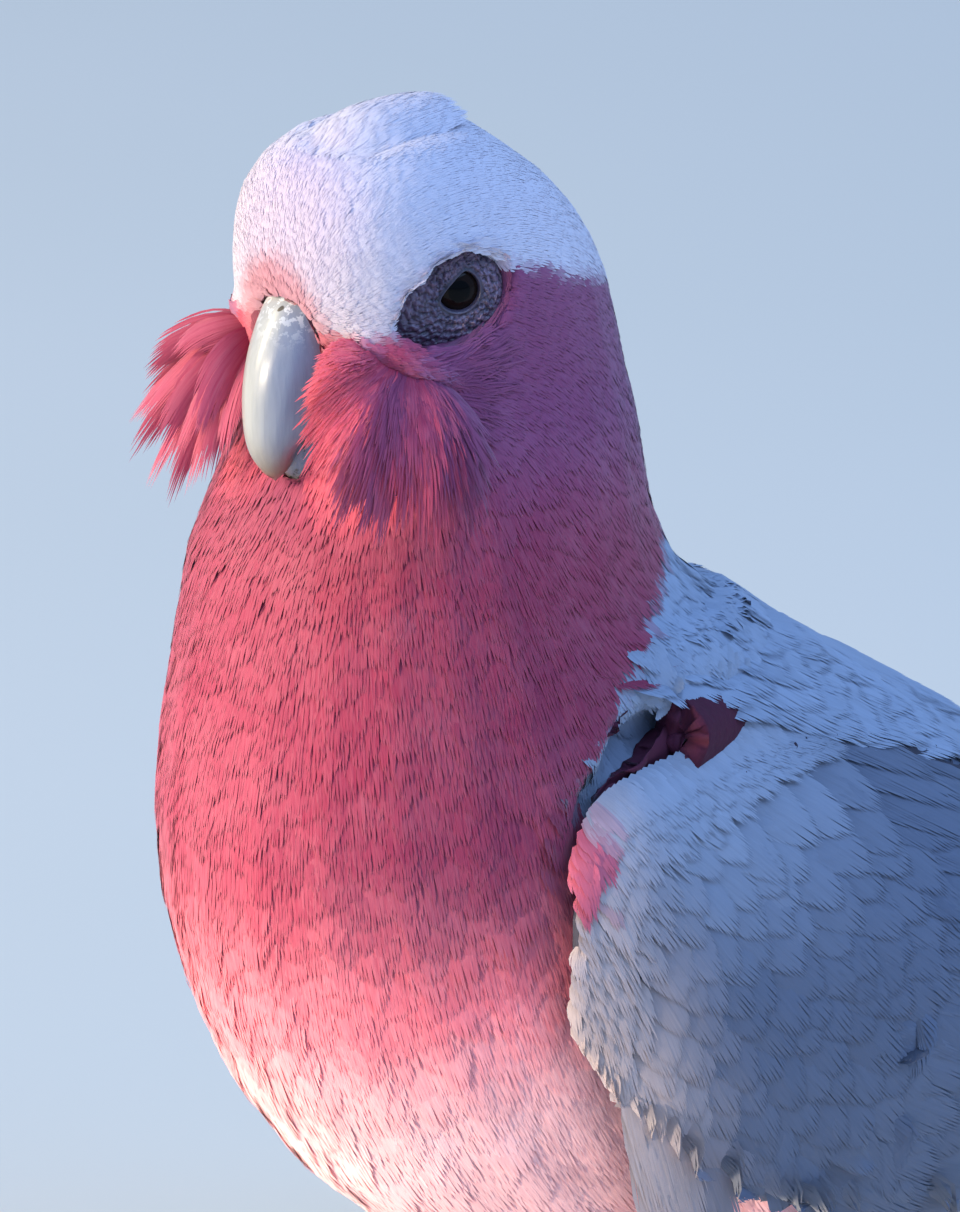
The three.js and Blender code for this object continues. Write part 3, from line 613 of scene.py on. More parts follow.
@functools.cache
def markings_group():
    """The galah's colours from a place on its body, shared by the skin and the feathers over it, with some
    painted light and shade among them.
    """
    tree, start, end = new_group(
        "galah_markings", {"Place": "Vector", "Bare": "Float"}, {"Color": "Color", "Pink": "Float"})
    colours = bpy.context.scene.galah_colours
    x, y, z = bird_place(tree, start.outputs["Place"])
    ragged = (noise(tree, start.outputs["Place"], 90, 3) - 0.5) * 5
    pink = blended(tree, (z + y * 0.1).between(150, 176), colours.breast, colours.face)
    # Paler and more salmon down the lower breast, belly and thighs: partly the bird's own paler tone and partly
    # painted light from below.
    pink = blended(tree, (z - y * 0.25 + ragged * 2).between(116, 80), pink, colours.belly)
    pink = blended(tree, (z - y * 0.25 + ragged).between(88, 60), pink, colours.low_belly_tone_and_light)
    # The redder cheek round the gape is partly painted light, for the front lobe that catches the light.
    from_cheek = ((x - 15).power(2) + (y + 4).power(2) + (z - 175).power(2)).power(0.5)
    pink = blended(tree, from_cheek.between(20, 13), pink, colours.cheek)
    neck_side = (x * 1.2 - z * 0.6 + y * 0.5 + 60).between(4, 40) * z.between(88, 112) * 0.75
    pink = blended(tree, neck_side, pink, colours.rose)
    white = (z + ragged * 0.6 - y.on_curve(WHITE_BORDER)).between(-1.5, 1.5)
    forehead = (y * 1.3 + x * 0.3 - (z - 200) * 0.4).between(10, -4)
    pale = blended(tree, forehead, colours.white, colours.forehead)
    round_bill = ((x / 7.4).power(2) + ((z - 185) / 9.5).power(2)).power(0.5)
    near_bill = (round_bill * 8 + ragged * 0.4).between(13.4, 8.5) * y.between(12, 9) * z.between(178, 184)
    coat = blended(tree, white, pink, pale)
    coat = blended(tree, line_distance(tree, (x, y, z), EYE_FOLD).between(2.1, 1.0), coat, colours.fold)
    coat = blended(tree, near_bill * 0.75, coat, colours.bill_fringe)
    grey = (y + x * 0.615 - z * 0.735 + 42.6 + ragged).least(z + y * 0.36 - 126).between(-1.5, 1.5)
    # The back's grey is partly painted skylight: paler and bluer than its own grey, for the sky's light on the
    # upturned back.
    greys = blended(tree, y.between(110, 150), colours.grey, colours.pale_grey)
    coat = blended(tree, grey, coat, greys)
    # Painted shade: the bare skin at the bottom of the hollow between the back and the wing is dark maroon.
    painted_gap_shade = line_distance(tree, (x, y, z), SHOULDER_GAP).between(8.5, 7) * Sum(tree, start.outputs["Bare"])
    coat = blended(tree, painted_gap_shade, coat, colours.gap)
    vent = y.between(106, 124) * z.between(72, 64)
    coat = blended(tree, vent, coat, colours.pale_grey)
    tree.links.new(coat, end.inputs["Color"])
    tree.links.new(((1 - white) * (1 - grey) * (1 - vent)).socket, end.inputs["Pink"])
    return tree


# Materials.

def new_material(name, **settings):
    """A material and its tree, with constants set on the sockets of its Principled shader."""
    made = bpy.data.materials.new(name)
    made.use_nodes = True
    for label, value in settings.items():
        made.node_tree.nodes["Principled BSDF"].inputs[label.replace("_", " ")].default_value = value
    return made, made.node_tree


def dyed(tree, colour, height=None, strength=0.4, distance=0.0001):
    """Gives a material its colour, and fine relief where a height is given."""
    shader = tree.nodes["Principled BSDF"]
    tree.links.new(colour, shader.inputs["Base Color"])
    if height is not None:
        bump = fed(tree, "ShaderNodeBump", {"Height": height, "Strength": strength, "Distance": distance})
        tree.links.new(bump.outputs[0], shader.inputs["Normal"])


def on_object(tree):
    """The place on the piece, for patterns that lie still on it."""
    return tree.nodes.new("ShaderNodeTexCoord").outputs["Object"]


def kept(tree, name, output="Fac"):
    """What the mesh keeps at each point under a name."""
    return Sum(tree, fed(tree, "ShaderNodeAttribute", {}, attribute_name=name).outputs[output])


def vane_place(tree):
    """How far across its feather a point is, and how far along it."""
    return numbers_of(tree, fed(tree, "ShaderNodeUVMap", {}, uv_map="vane").outputs[0])[:2]


def hsv(tree, colour, saturation, value, hue=0.5):
    inputs = {"Color": colour, "Hue": hue, "Saturation": saturation, "Value": value}
    return fed(tree, "ShaderNodeHueSaturation", inputs).outputs[0]


def markings_from(tree, place, bare=0):
    """The markings at a place, with the share of pink there. Bare skin is 1 and feathers are 0."""
    node = fed(tree, "ShaderNodeGroup", {}, node_tree=markings_group())
    tree.links.new(place, node.inputs["Place"])
    node.inputs["Bare"].default_value = bare
    return node.outputs["Color"], Sum(tree, node.outputs["Pink"])


@functools.cache
def strand_group():
    """Fine streaks along a feather, as the hair-like barbs of soft plumage show them."""
    inputs = dict.fromkeys(("Across", "Far", "Tone", "Fineness"), "Float")
    tree, start, end = new_group("feather_strands", inputs, {"Strand": "Float"})
    across, far, tone, fineness = (Sum(tree, start.outputs[k]) for k in range(4))
    place = {0: across * fineness + tone * 57, 1: far * 1.6 + tone * 13}
    streak = noise(tree, fed(tree, "ShaderNodeCombineXYZ", place).outputs[0], 1.0, 3, 0.6)
    tree.links.new(streak.socket, end.inputs["Strand"])
    return tree


def strands(tree, across, far, tone, fineness):
    inputs = {"Across": across, "Far": far, "Tone": tone, "Fineness": fineness}
    return Sum(tree, fed(tree, "ShaderNodeGroup", inputs, node_tree=strand_group()).outputs["Strand"])


@functools.cache
def down_material():
    """Soft feathers: the markings, deeper at the root, partly as painted shade between the overlapping feathers,
    and paler at the tip, a little different on each.
    """
    made, tree = new_material("soft_feathers", Roughness=0.75, Sheen_Weight=0.2, Sheen_Roughness=0.6)
    marked = kept(tree, "marked", "Vector").socket
    colour, pink = markings_from(tree, marked)
    across, far = vane_place(tree)
    tone = kept(tree, "tone")
    # Deeper and redder towards each feather's root: partly its own darker base and partly painted shade in the
    # gaps between overlapping feathers.
    deep = hsv(tree, colour, 1.1, 0.6, hue=0.495)
    colour = blended(tree, far.between(0.55, 0.15) * (0.1 + pink * 0.5), colour, deep)
    colour = blended(tree, far.between(0.86, 1.0), colour, hsv(tree, colour, 0.93, 1.05))
    streak = strands(tree, across, far, tone, 18)
    cloud = noise(tree, marked, 110, 3) - 0.5
    light = 0.86 - pink * 0.1 + tone * 0.05 + streak * (0.12 + pink * 0.4) + cloud * (0.05 + pink * 0.3)
    colour = hsv(tree, colour, 1.02 - (streak - 0.5) * 0.3 - cloud * 0.2, light)
    dyed(tree, colour, streak, distance=0.0002)
    return made


def vane_material(name, colour=None, front=False):
    """Firm grey feathers: fine streaks, a faint shaft, a paler edge and a deeper root, partly painted shade. The
    wing's front edge is pink, and its upper coverts are paler as painted skylight.
    """
    made, tree = new_material(name, Roughness=0.66, Sheen_Weight=0.15)
    marked = kept(tree, "marked", "Vector").socket
    if front:
        colours = bpy.context.scene.galah_colours
        _, y, z = bird_place(tree, marked)
        # Painted skylight: the coverts high on the wing, which face the sky, are paler and bluer.
        grey = blended(tree, z.between(82, 118) * y.between(95, 50), colour, colours.wing_top_skylight)
        grey = blended(tree, (y + z * 0.3).between(50, 74), colours.wing_front, grey)
        ragged = noise(tree, marked, 300, 1) * 5
        patch = (y - z * 0.25 + ragged).between(0.6, -1) * (z + ragged).between(103, 106)
        colour = blended(tree, patch * (z - ragged).between(120, 116), grey, colours.wing_pink)
    elif colour is None:
        colour, _ = markings_from(tree, marked)
    across, far = vane_place(tree)
    tone = kept(tree, "tone")
    off = (across - 0.5).size() * 2
    streak = strands(tree, across, far - off * 0.3, tone, 26)
    cloud = noise(tree, marked, 70, 2) - 0.5
    colour = hsv(tree, colour, 1.0 - cloud * 0.2, 0.8 + tone * 0.08 + streak * 0.26 + cloud * 0.3)
    edge = (off.power(3) * 0.2 + far).between(0.9, 1.08)
    colour = blended(tree, edge * 0.2, colour, hsv(tree, colour, 0.8, 1.25))
    shaft = off.between(0.08, 0.02)
    colour = blended(tree, shaft * 0.12, colour, hsv(tree, colour, 1.1, 0.6))
    # Darker towards each feather's root: partly its own darker base and partly painted shade where the feathers
    # over it cover it.
    colour = blended(tree, far.between(0.6, 0.2) * 0.4, colour, hsv(tree, colour, 1.1, 0.6))
    dyed(tree, colour, streak + shaft, 0.3, 0.00012)
    return made


def skin_material():
    """The skin and the down on it, in the same markings as the coat, deeper and greyer: partly its own tone and
    partly painted shade where it shows between the feathers.
    """
    made, tree = new_material("skin", Roughness=0.8)
    place = on_object(tree)
    mottle = noise(tree, place, 900, 3)
    colour, _ = markings_from(tree, place, bare=1)
    # Darker than the coat: partly the skin's own tone and partly painted shade under the feathers.
    dyed(tree, hsv(tree, colour, 1.1, 0.6 + mottle * 0.3), mottle, 0.5, 0.0004)
    return made


@functools.cache
def under_wing_material():
    """The down under the wing feathers: dark blue-grey, mottled, and the gap's painted shade beside the gap."""
    made, tree = new_material("wing_down", Roughness=0.85)
    place = on_object(tree)
    down = blended(tree, noise(tree, place, 700, 3), srgb(44, 38, 52), srgb(76, 78, 94))
    # Painted shade: the dark maroon of the hollow under the scapulars, where the wing's skin lies beside it.
    gap_shade_share = line_distance(tree, bird_place(tree, place), SHOULDER_GAP).between(9, 6)
    dyed(tree, blended(tree, gap_shade_share, down, bpy.context.scene.galah_colours.gap))
    return made


# The body's surface.

FLESH = ("head", "neck", "trunk", "mantle", "thigh_left", "thigh_right")
WING_NODES = tuple(f"wing_{side}_{part}" for side in ("left", "right") for part in ("coverts", "secondaries"))
BILL = ("upper_bill", "lower_bill")

# Lines on one side of the body along which the skin swells, or sinks below zero: ends, height and reach.
FOLDS = [
    (*EYE_FOLD, 1.4, 1.8),
    ((37.8, 23, 118.5), (37.2, 31, 123), -0.9, 2.0),
    ((37.2, 33, 125), (35, 58, 126.2), -4.5, 3.8),
]


def fold_height(places):
    """How far the folds lift or sink the skin at each place."""
    half = one_half(places)
    total = np.zeros(len(places))
    for start, end, height, reach in FOLDS:
        start, way = np.array(start), np.subtract(end, start)
        share = np.clip((half - start) @ way / (way @ way), 0, 1)
        apart = np.linalg.norm(half - (start + share[:, None] * way), axis=1)
        swell = height * np.exp(-(apart / reach) ** 2)
        total = np.where(np.abs(swell) > np.abs(total), swell, total)
    return total


@functools.cache
def body_surface():
    """The surface out to the tips of the coat, shared by the skin and the feathers."""
    points, triangles = hull_over(FLESH)
    from_eye = np.clip(ring_distance(points) * 1.5 - 1.5, 0, 1)
    from_bill = np.clip(np.linalg.norm(points - [0, -2, 184], axis=1) / 12 - 0.9, 0, 1)
    height = fold_height(points) - 0.3 * from_eye * from_bill
    return Surface(points + vertex_normals(points, triangles) * height[:, None], triangles)


def eye_frame():
    """The axes of the left eye: outwards, forwards along its ring and up across it."""
    out = np.array([math.cos(EYE_TURN), -math.sin(EYE_TURN), 0])
    up = np.array([0, 0, 1.0])
    slant = EYE_RING["slant"]
    forwards = EYE_FORWARDS * math.cos(slant) - up * math.sin(slant)
    return out, forwards, EYE_FORWARDS * math.sin(slant) + up * math.cos(slant)


def ring_share(ahead, above):
    """How far out a place is from the middle of the eye's ring: 0 there and 1 at its edge."""
    front = ahead > 0
    reach = np.where(front, EYE_RING["ahead"], EYE_RING["behind"])
    power = np.where(front, 1.5, 2.0)
    return (np.abs(ahead / reach) ** power + np.abs(above / EYE_RING["height"]) ** power) ** (1 / power)


def ring_offset():
    """From an eye's middle to the middle of its ring."""
    return EYE_FORWARDS * EYE_RING["forwards"] - np.array([0, 0, EYE_RING["down"]])


def ring_distance(places):
    """How far out from each eye's middle a place is: 1 at the edge of its bare ring."""
    half = one_half(places)
    _, forwards, across = eye_frame()
    gap = half - (EYE + ring_offset())
    return np.where(half[:, 2] > 172, ring_share(gap @ forwards, gap @ across), 9)


def solid_surface(nodes):
    """The surface of several solids as they are, in the bird's frame."""
    points, triangles = joined([mesh_arrays(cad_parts[node].data) for node in nodes])
    return Surface(to_bird(points), triangles)


def height_over(surface, places):
    """How far each place is above a surface, less than zero inside it."""
    nearest, normals = surface.nearest(places)
    gap = places - nearest
    return np.linalg.norm(gap, axis=1) * np.sign((gap * normals).sum(1))


def coat_depth(places):
    """How deep the coat is: a fifth of its feathers' length, and less over the grey back."""
    lengths = guided(places)[1][:, 0]
    grey = np.clip(grey_share(places) / 6 + 0.5, 0, 1)
    return np.clip(lengths * 0.18, 0.5, 2.4) * (1 - grey) + 1.5 * grey


# Pieces.

def make_skin():
    outline = body_surface()
    depth = coat_depth(outline.points) + 0.35
    points = outline.points - outline.normals * depth[:, None]
    dressed(new_object("skin", points, outline.triangles, skin_material()), "rose_pink", *FLESH)


@functools.cache
def back_cover():
    """One surface over the back and both folded wings."""
    return Surface(*hull_over(FLESH + WING_NODES, swell=0.8, voxel=1.2, smoothing=12))


def region_of(places):
    """Names each place's piece of the coat, with borders softened so that no line shows between them."""
    rng = np.random.default_rng(5)
    blur = rng.normal(0, 1.0, len(places))
    x, y, z = places.T
    level = z + 0.09 * y + blur * 1.5
    region = np.full(len(places), "belly", dtype=object)
    region[level > 68] = "breast"
    region[level > 124] = "neck"
    region[level > 160] = "face"
    region[(level > 143) & (level < 166) & (y < 8) & (np.abs(x) < 17)] = "throat"
    region[(z + blur * 0.5 > white_border(places)) & (level > 160)] = "crown"
    region[grey_share(places) + blur > 0] = "back"
    region[(z < 72) & (y > 100)] = "belly"
    return region


COAT = {
    "crown": dict(count=9, steps=3, width=0.95, narrow=0.5, ragged=0.16, overlap=1.6, crown=0.1),
    "face": dict(count=9, width=0.95, rounding=0.3, ragged=0.22, stray=0.06),
    "neck": dict(width=1.1, ragged=0.2, stray=0.05),
    "breast": dict(count=15, width=1.15, narrow=0.3, rounding=0.42, ragged=0.12, stray=0.025, tilt=0.03),
    "belly": dict(width=1.15, narrow=0.3, rounding=0.4, ragged=0.12, tilt=0.03),
    "throat": dict(count=7, width=0.8, narrow=0.3, rounding=0.3, ragged=0.35, lift=0.1, stray=0.08),
    "back": dict(count=17, steps=5, width=1.15, narrow=0.45, rounding=0.5, ragged=0.04, overlap=1.9, tilt=0.02,
                 stray=0.01, lift=0.01),
}


def share_before_gap(lines):
    """How much of each feather lies ahead of the gap under the scapulars."""
    steps = lines.shape[1] - 1
    sunk = fold_height(lines.reshape(-1, 3)).reshape(lines.shape[:2]) < -1.0
    return np.where(sunk.any(1), np.maximum(sunk.argmax(1) - 0.5, 0.8) / steps, 1)


def body_root(places):
    """Where feathers of the body spring from: not from the eyes' rings, the folds, the wings or the rump."""
    ragged = 0.08 * np.sin(places @ [3.1, 2.3, 4.7]) + 0.07 * np.sin(places @ [-6.1, 7.3, 5.2])
    x, y, z = places.T
    _, edge_y, edge_z = np.array(SCAPULAR_EDGE).T
    under_wing = (np.abs(x) > 26) & (y > 46) & (y < 120) & (z < np.interp(y, edge_y, edge_z) - 1) & (z > 100)
    rump = (z > 70) & (y > np.interp(np.abs(x), [8, 14], [110, 89]))
    return (ring_distance(places) > 0.93 + ragged) & (fold_height(places) > -1.0) & ~under_wing & ~rump


def make_body_coat():
    outline = body_surface()
    roots = outline.scatter(lambda places: guided(places)[1][:, 1] * 0.86, body_root, seed=11)
    near_bill = (roots[:, 1] < 14) & (roots[:, 2] > 155)
    clear = np.ones(len(roots), bool)
    clear[near_bill] = height_over(solid_surface(BILL), roots[near_bill]) > 0.1
    roots = roots[clear]
    way, sizes = guided(roots)
    regions = region_of(roots + way * sizes[:, :1] * 0.6)
    for number, (region, style) in enumerate(COAT.items()):
        rng = np.random.default_rng(100 + number)
        back = region == "back"
        style = dict(style)
        mine = roots[regions == region]
        lengths, spacing = guided(mine)[1].T
        lengths = lengths * rng.uniform(0.85, 1.15, len(mine))
        size = np.clip(lengths / 12, 0.25, 1)
        ruffled = rng.random(len(mine)) < np.interp(mine[:, 2], [60, 80, 110, 125], [0.02, 0.06, 0.05, 0.0])
        rise = (rng.uniform(-0.08, 0.06, len(mine)) - 0.15 + 0.4 * ruffled) * size
        lengths = lengths * share_before_gap(laid(outline, mine, lengths, 0, 0)[0])
        width = spacing * style.pop("width") * rng.uniform(0.9, 1.1, len(mine))
        depth = coat_depth(mine) * 0.6 + 0.1
        over_wings = back & (mine[:, 1] > 90)
        sets = []
        for surface, chosen in ((outline, ~over_wings), (back_cover(), over_wings)):
            if chosen.any():
                midlines = laid(surface, mine[chosen], lengths[chosen], depth[chosen], rise[chosen])
                sets.append(feathered(locks, midlines, width[chosen], rng, **style))
        if back:
            sets += scapulars(rng)
        slot = {"crown": "crown_white", "back": "wing_grey"}.get(region, "rose_pink")
        material = vane_material("back_feathers") if back else down_material()
        coat_object(region + "_feathers", sets, material, slot)


# The free lower edge of the sheet of scapular feathers, from the shoulder back, where it hangs over the wing.
SCAPULAR_EDGE = [
    (35.6, 31, 133.6), (36, 41, 128.4), (36, 50, 125.6), (35.4, 60, 121.9), (33.4, 73, 116.6),
    (30.5, 86, 112), (27.5, 98, 108), (24.5, 110, 103), (21.5, 122, 97),
]
SHEET = {"length": 101.0, "up": np.array([-0.62, 0.2, 0.76]), "roundness": 34.0}


def scapular_sheet(share, up):
    """Places on the sheet at shares along its edge and millimetres up from it, with the normals there."""
    held = np.clip(share, 0.01, 0.99)
    run = unit(through(SCAPULAR_EDGE, held + 0.01) - through(SCAPULAR_EDGE, held - 0.01))
    edge = through(SCAPULAR_EDGE, held) + run * ((share - held) * SHEET["length"])[..., None]
    rising = unit(SHEET["up"] - run * (run @ SHEET["up"])[..., None])
    out = np.cross(run, rising)
    turn, radius = (up / SHEET["roundness"])[..., None], SHEET["roundness"]
    place = edge + rising * np.sin(turn) * radius - out * (1 - np.cos(turn)) * radius
    return place, out * np.cos(turn) + rising * np.sin(turn)


def scapulars(rng):
    """Rows of broad feathers that hang from the shoulder over the top of each wing."""
    made = []
    share = np.linspace(0, 1, 9)
    for up, lift in ((19, 0.2), (15, 0.35), (11, 0.5), (7, 0.65), (3.4, 0.8)):
        count = 16
        tip_share = (np.arange(count) + 0.4) / count + rng.normal(0, 0.008, count)
        tip_up = up * np.interp(tip_share, [0.3, 1], [1, 0.7]) + rng.normal(0, 0.3, count)
        length = np.interp(tip_share, [0, 0.2, 0.6], [11, 16, 22]) * rng.uniform(0.94, 1.06, count)
        slant = math.radians(17) + rng.normal(0, 0.03, count)
        root_share = tip_share - length * np.cos(slant) / SHEET["length"]
        root_up = tip_up + length * np.sin(slant)
        at = root_share[:, None] + (tip_share - root_share)[:, None] * share
        high = root_up[:, None] + (tip_up - root_up)[:, None] * share
        place, normal = scapular_sheet(at, high)
        nearest, facing = (part.reshape(place.shape) for part in back_cover().nearest(place.reshape(-1, 3)))
        hold = np.interp(at, [0.3, 0.55], [0, 1])[..., None]
        place = place + (nearest - place) * hold
        normal = unit(normal + (facing - normal) * hold)
        sunk = 0.5 - height_over(body_surface(), place.reshape(-1, 3)).reshape(at.shape)
        pushed = np.clip(sunk, 0, 3) * np.interp(at, [0.02, 0.12, 0.3, 0.5], [0, 1, 1, 0])
        for _ in range(3):
            pushed[:, 1:-1] = (pushed[:, :-2] + pushed[:, 1:-1] + pushed[:, 2:]) / 3
        height = pushed + lift * share * (1 - 0.6 * hold[..., 0]) + 0.8 * hold[..., 0]
        height = height - 1.6 * (1 - share) ** EMERGING
        line = place + normal * height[..., None]
        midlines = line, unit(np.gradient(line, axis=1)), normal
        half = np.interp(tip_share, [0, 0.3], [3.8, 5.2])
        row = feathered(locks, midlines, half, rng, count=23, steps=5, narrow=0.5, rounding=0.42, ragged=0.03,
                        overlap=1.9, tilt=0.02, stray=0.01, lift=0.01, crown=0.2)
        row = (*row[:-1], row[-1] + [0, 0, 9])
        made += [row, mirrored(row, -1)]
    return made


# The wings.

# Stations of the folded left wing from its bend to its tip: its upper edge, the line where it stands out most,
# and its lower edge, as the solids have them.
WING_STATIONS = [
    ((37, 24, 121), (42.4, 17.5, 104.5), (39.5, 18.5, 86)),
    ((34, 38, 127.5), (45.5, 36, 101), (41.5, 35, 66)), ((23, 68, 129.5), (46.5, 68, 96), (40, 70, 47)),
    ((10, 106, 114), (43, 106, 84.5), (33, 110, 41.5)), ((5, 150, 89.5), (34, 148, 65), (26.5, 152, 34.5)),
    ((5.5, 190, 67.5), (25.5, 190, 49.5), (22, 194, 28)), ((9, 226, 47.5), (19, 227, 37), (18.5, 230, 25)),
    ((13, 256, 27), (14, 256.5, 26), (14.5, 256, 25)),
]


def wing_face(u, v):
    """The outer face of the left wing: u runs from its bend to its tip, v from its upper to its lower edge."""
    upper, side, lower = (through([station[k] for station in WING_STATIONS], u) for k in range(3))
    pull = 2 * side - 0.5 * upper - 0.5 * lower
    v = np.asarray(v, float)[..., None]
    return upper * (1 - v) ** 2 + pull * 2 * v * (1 - v) + lower * v ** 2


def wing_frame(u, v):
    """Points of the left wing's face, with its outward normals and the directions of u and v."""
    step = 1e-3
    place = wing_face(u, v)
    along_u = unit(wing_face(np.clip(u + step, 0, 1), v) - wing_face(np.clip(u - step, 0, 1), v))
    along_v = unit(wing_face(u, v + step) - wing_face(u, v - step))
    return place, unit(np.cross(along_v, along_u)), along_u, along_v


WING_GRID = np.meshgrid(np.linspace(0, 1, 90), np.linspace(0, 1, 40), indexing="ij")
WING_GRID = np.stack(WING_GRID, -1).reshape(-1, 2)
WING_TREE = KDTree(len(WING_GRID))
for number, place in enumerate(wing_face(*WING_GRID.T).tolist()):
    WING_TREE.insert(place, number)
WING_TREE.balance()


def on_wing(places):
    """The shares u and v of the nearest points of the left wing's face."""
    return WING_GRID[[WING_TREE.find(place)[1] for place in places.tolist()]]


def mirrored(feathers, side):
    """Feathers of the left side, or their mirror image for the right one."""
    if side > 0:
        return feathers
    points, triangles, vane, feather, facing, roots, shown = feathers
    flip = np.array([-1, 1, 1])
    return points * flip, triangles[:, ::-1], vane, feather, facing * flip, roots * flip, shown * flip


def wing_row(u, v, reach, drop, half_width, depth, rise, rng, steps=4, kind=locks, **style):
    """One row of feathers over the wing: where they spring from, how far back and down they reach."""
    share = np.linspace(0, 1, steps + 1)
    tip_u, tip_v = u + reach, v + drop
    along_u = u[:, None] + (tip_u - u)[:, None] * share
    along_v = v[:, None] + (tip_v - v)[:, None] * share
    place, normal, _, _ = wing_frame(np.clip(along_u, 0, 1), along_v)
    line = place + normal * (rise * share - depth * (1 - share) ** EMERGING)[..., None]
    return feathered(kind, (line, unit(np.gradient(line, axis=1)), normal), half_width, rng, **style)


FIRM = dict(count=25, narrow=0.45, rounding=0.5, ragged=0.03, overlap=1.9, tilt=0.01, stray=0.006, lift=0.0,
            cup=0.05, crown=0.2)


# The upper edge of the wing's front, from below its bend back to where the scapulars cover it.
WING_RIM = [
    (39.4, 20.8, 111), (38.4, 22, 116), (38, 24.4, 119.6), (38, 28, 121.1), (38, 33.6, 122.3),
    (38.1, 38.6, 123.1), (38, 43, 123.8), (37, 50, 124.1), (35.6, 56.7, 123.8), (33.6, 64, 122.6),
]
RIM_WAYS = [(0.25, 0.3, -0.9), (0.15, 0.5, -0.85), (0.1, 0.6, -0.8), (0, 0.75, -0.65), (-0.05, 0.85, -0.5)]


def rim_coverts(rng, count=38):
    """Small soft feathers that spring from the upper edge of the wing's front and hang over its face."""
    sets = []
    for below, reach in ((4.5, 12), (2.2, 10.5), (0.2, 9)):
        share = (np.arange(count) + rng.uniform(0.2, 0.8, count)) / count
        ways = unit(through(RIM_WAYS, share))
        roots = through(WING_RIM, share) + ways * below
        lengths = reach * rng.uniform(0.9, 1.1, count)
        midlines = laid(back_cover(), roots, lengths, 0.9, rng.uniform(0, 0.15, count), steps=5, ways=ways)
        sets.append(feathered(locks, midlines, 2.1, rng, steps=5, narrow=0.6, rounding=0.5, ragged=0.12,
                              stray=0.02, overlap=1.9))
    return sets


def small_coverts(surface, rng):
    """The small soft feathers over the bend of the wing, and the larger scalloped ones behind them."""
    def spacing(places):
        return np.interp(on_wing(places)[:, 0], [0, 0.05, 0.15, 0.36], [1.5, 1.9, 3.8, 5.6])

    roots = surface.scatter(spacing, lambda places: on_wing(places)[:, 0] < 0.35, seed=31)
    u, v = on_wing(roots).T
    _, normal, along_u, along_v = wing_frame(u, v)
    _, facing = surface.nearest(roots)
    inmost = np.interp(u, [0.1, 0.16], [0.88, 0.3])
    outer = (normal * facing).sum(1) > np.interp(v, [0, 0.15, 0.3], [0, 0.8, 1]) * (0.45 - inmost) + inmost
    hidden = np.interp(u, [0.1, 0.16], [-2.5, -7])
    clear = height_over(body_surface(), roots) > hidden + (0.2 - hidden) * np.interp(v, [0.1, 0.3], [0, 1])
    rim = np.array(WING_RIM)
    below_rim = roots[:, 2] - 0.234 * (roots[:, 0] - 38) < np.interp(roots[:, 1], rim[:, 1], rim[:, 2]) - 3.5
    kept = outer & clear & (below_rim | (roots[:, 1] > 66))
    roots, u, v, along_u, along_v = (part[kept] for part in (roots, u, v, along_u, along_v))
    slant = np.interp(u, [0, 0.12, 0.36], [1.0, 0.85, 0.5]) * np.interp(v, [0, 0.25, 1], [0.7, 1, 1])
    slant = slant + rng.normal(0, 0.04, len(roots))
    ways = along_u * np.cos(slant)[:, None] + along_v * np.sin(slant)[:, None]
    lengths = np.interp(u, [0, 0.05, 0.15, 0.36], [7, 10, 16, 22]) * rng.uniform(0.92, 1.08, len(roots))
    rise = rng.uniform(-0.02, 0.12, len(roots))
    midlines = laid(surface, roots, lengths, 1.2, rise, steps=5, ways=ways)
    sets = []
    front = dict(count=11, rounding=0.4, ragged=0.25, stray=0.05)
    for near, wide, style in ((u < 0.09, 0.75, front), (u >= 0.09, 1.05, FIRM)):
        part = [values[near] for values in midlines]
        sets.append(feathered(locks, part, spacing(roots[near]) * wide, rng, **style))
    return sets


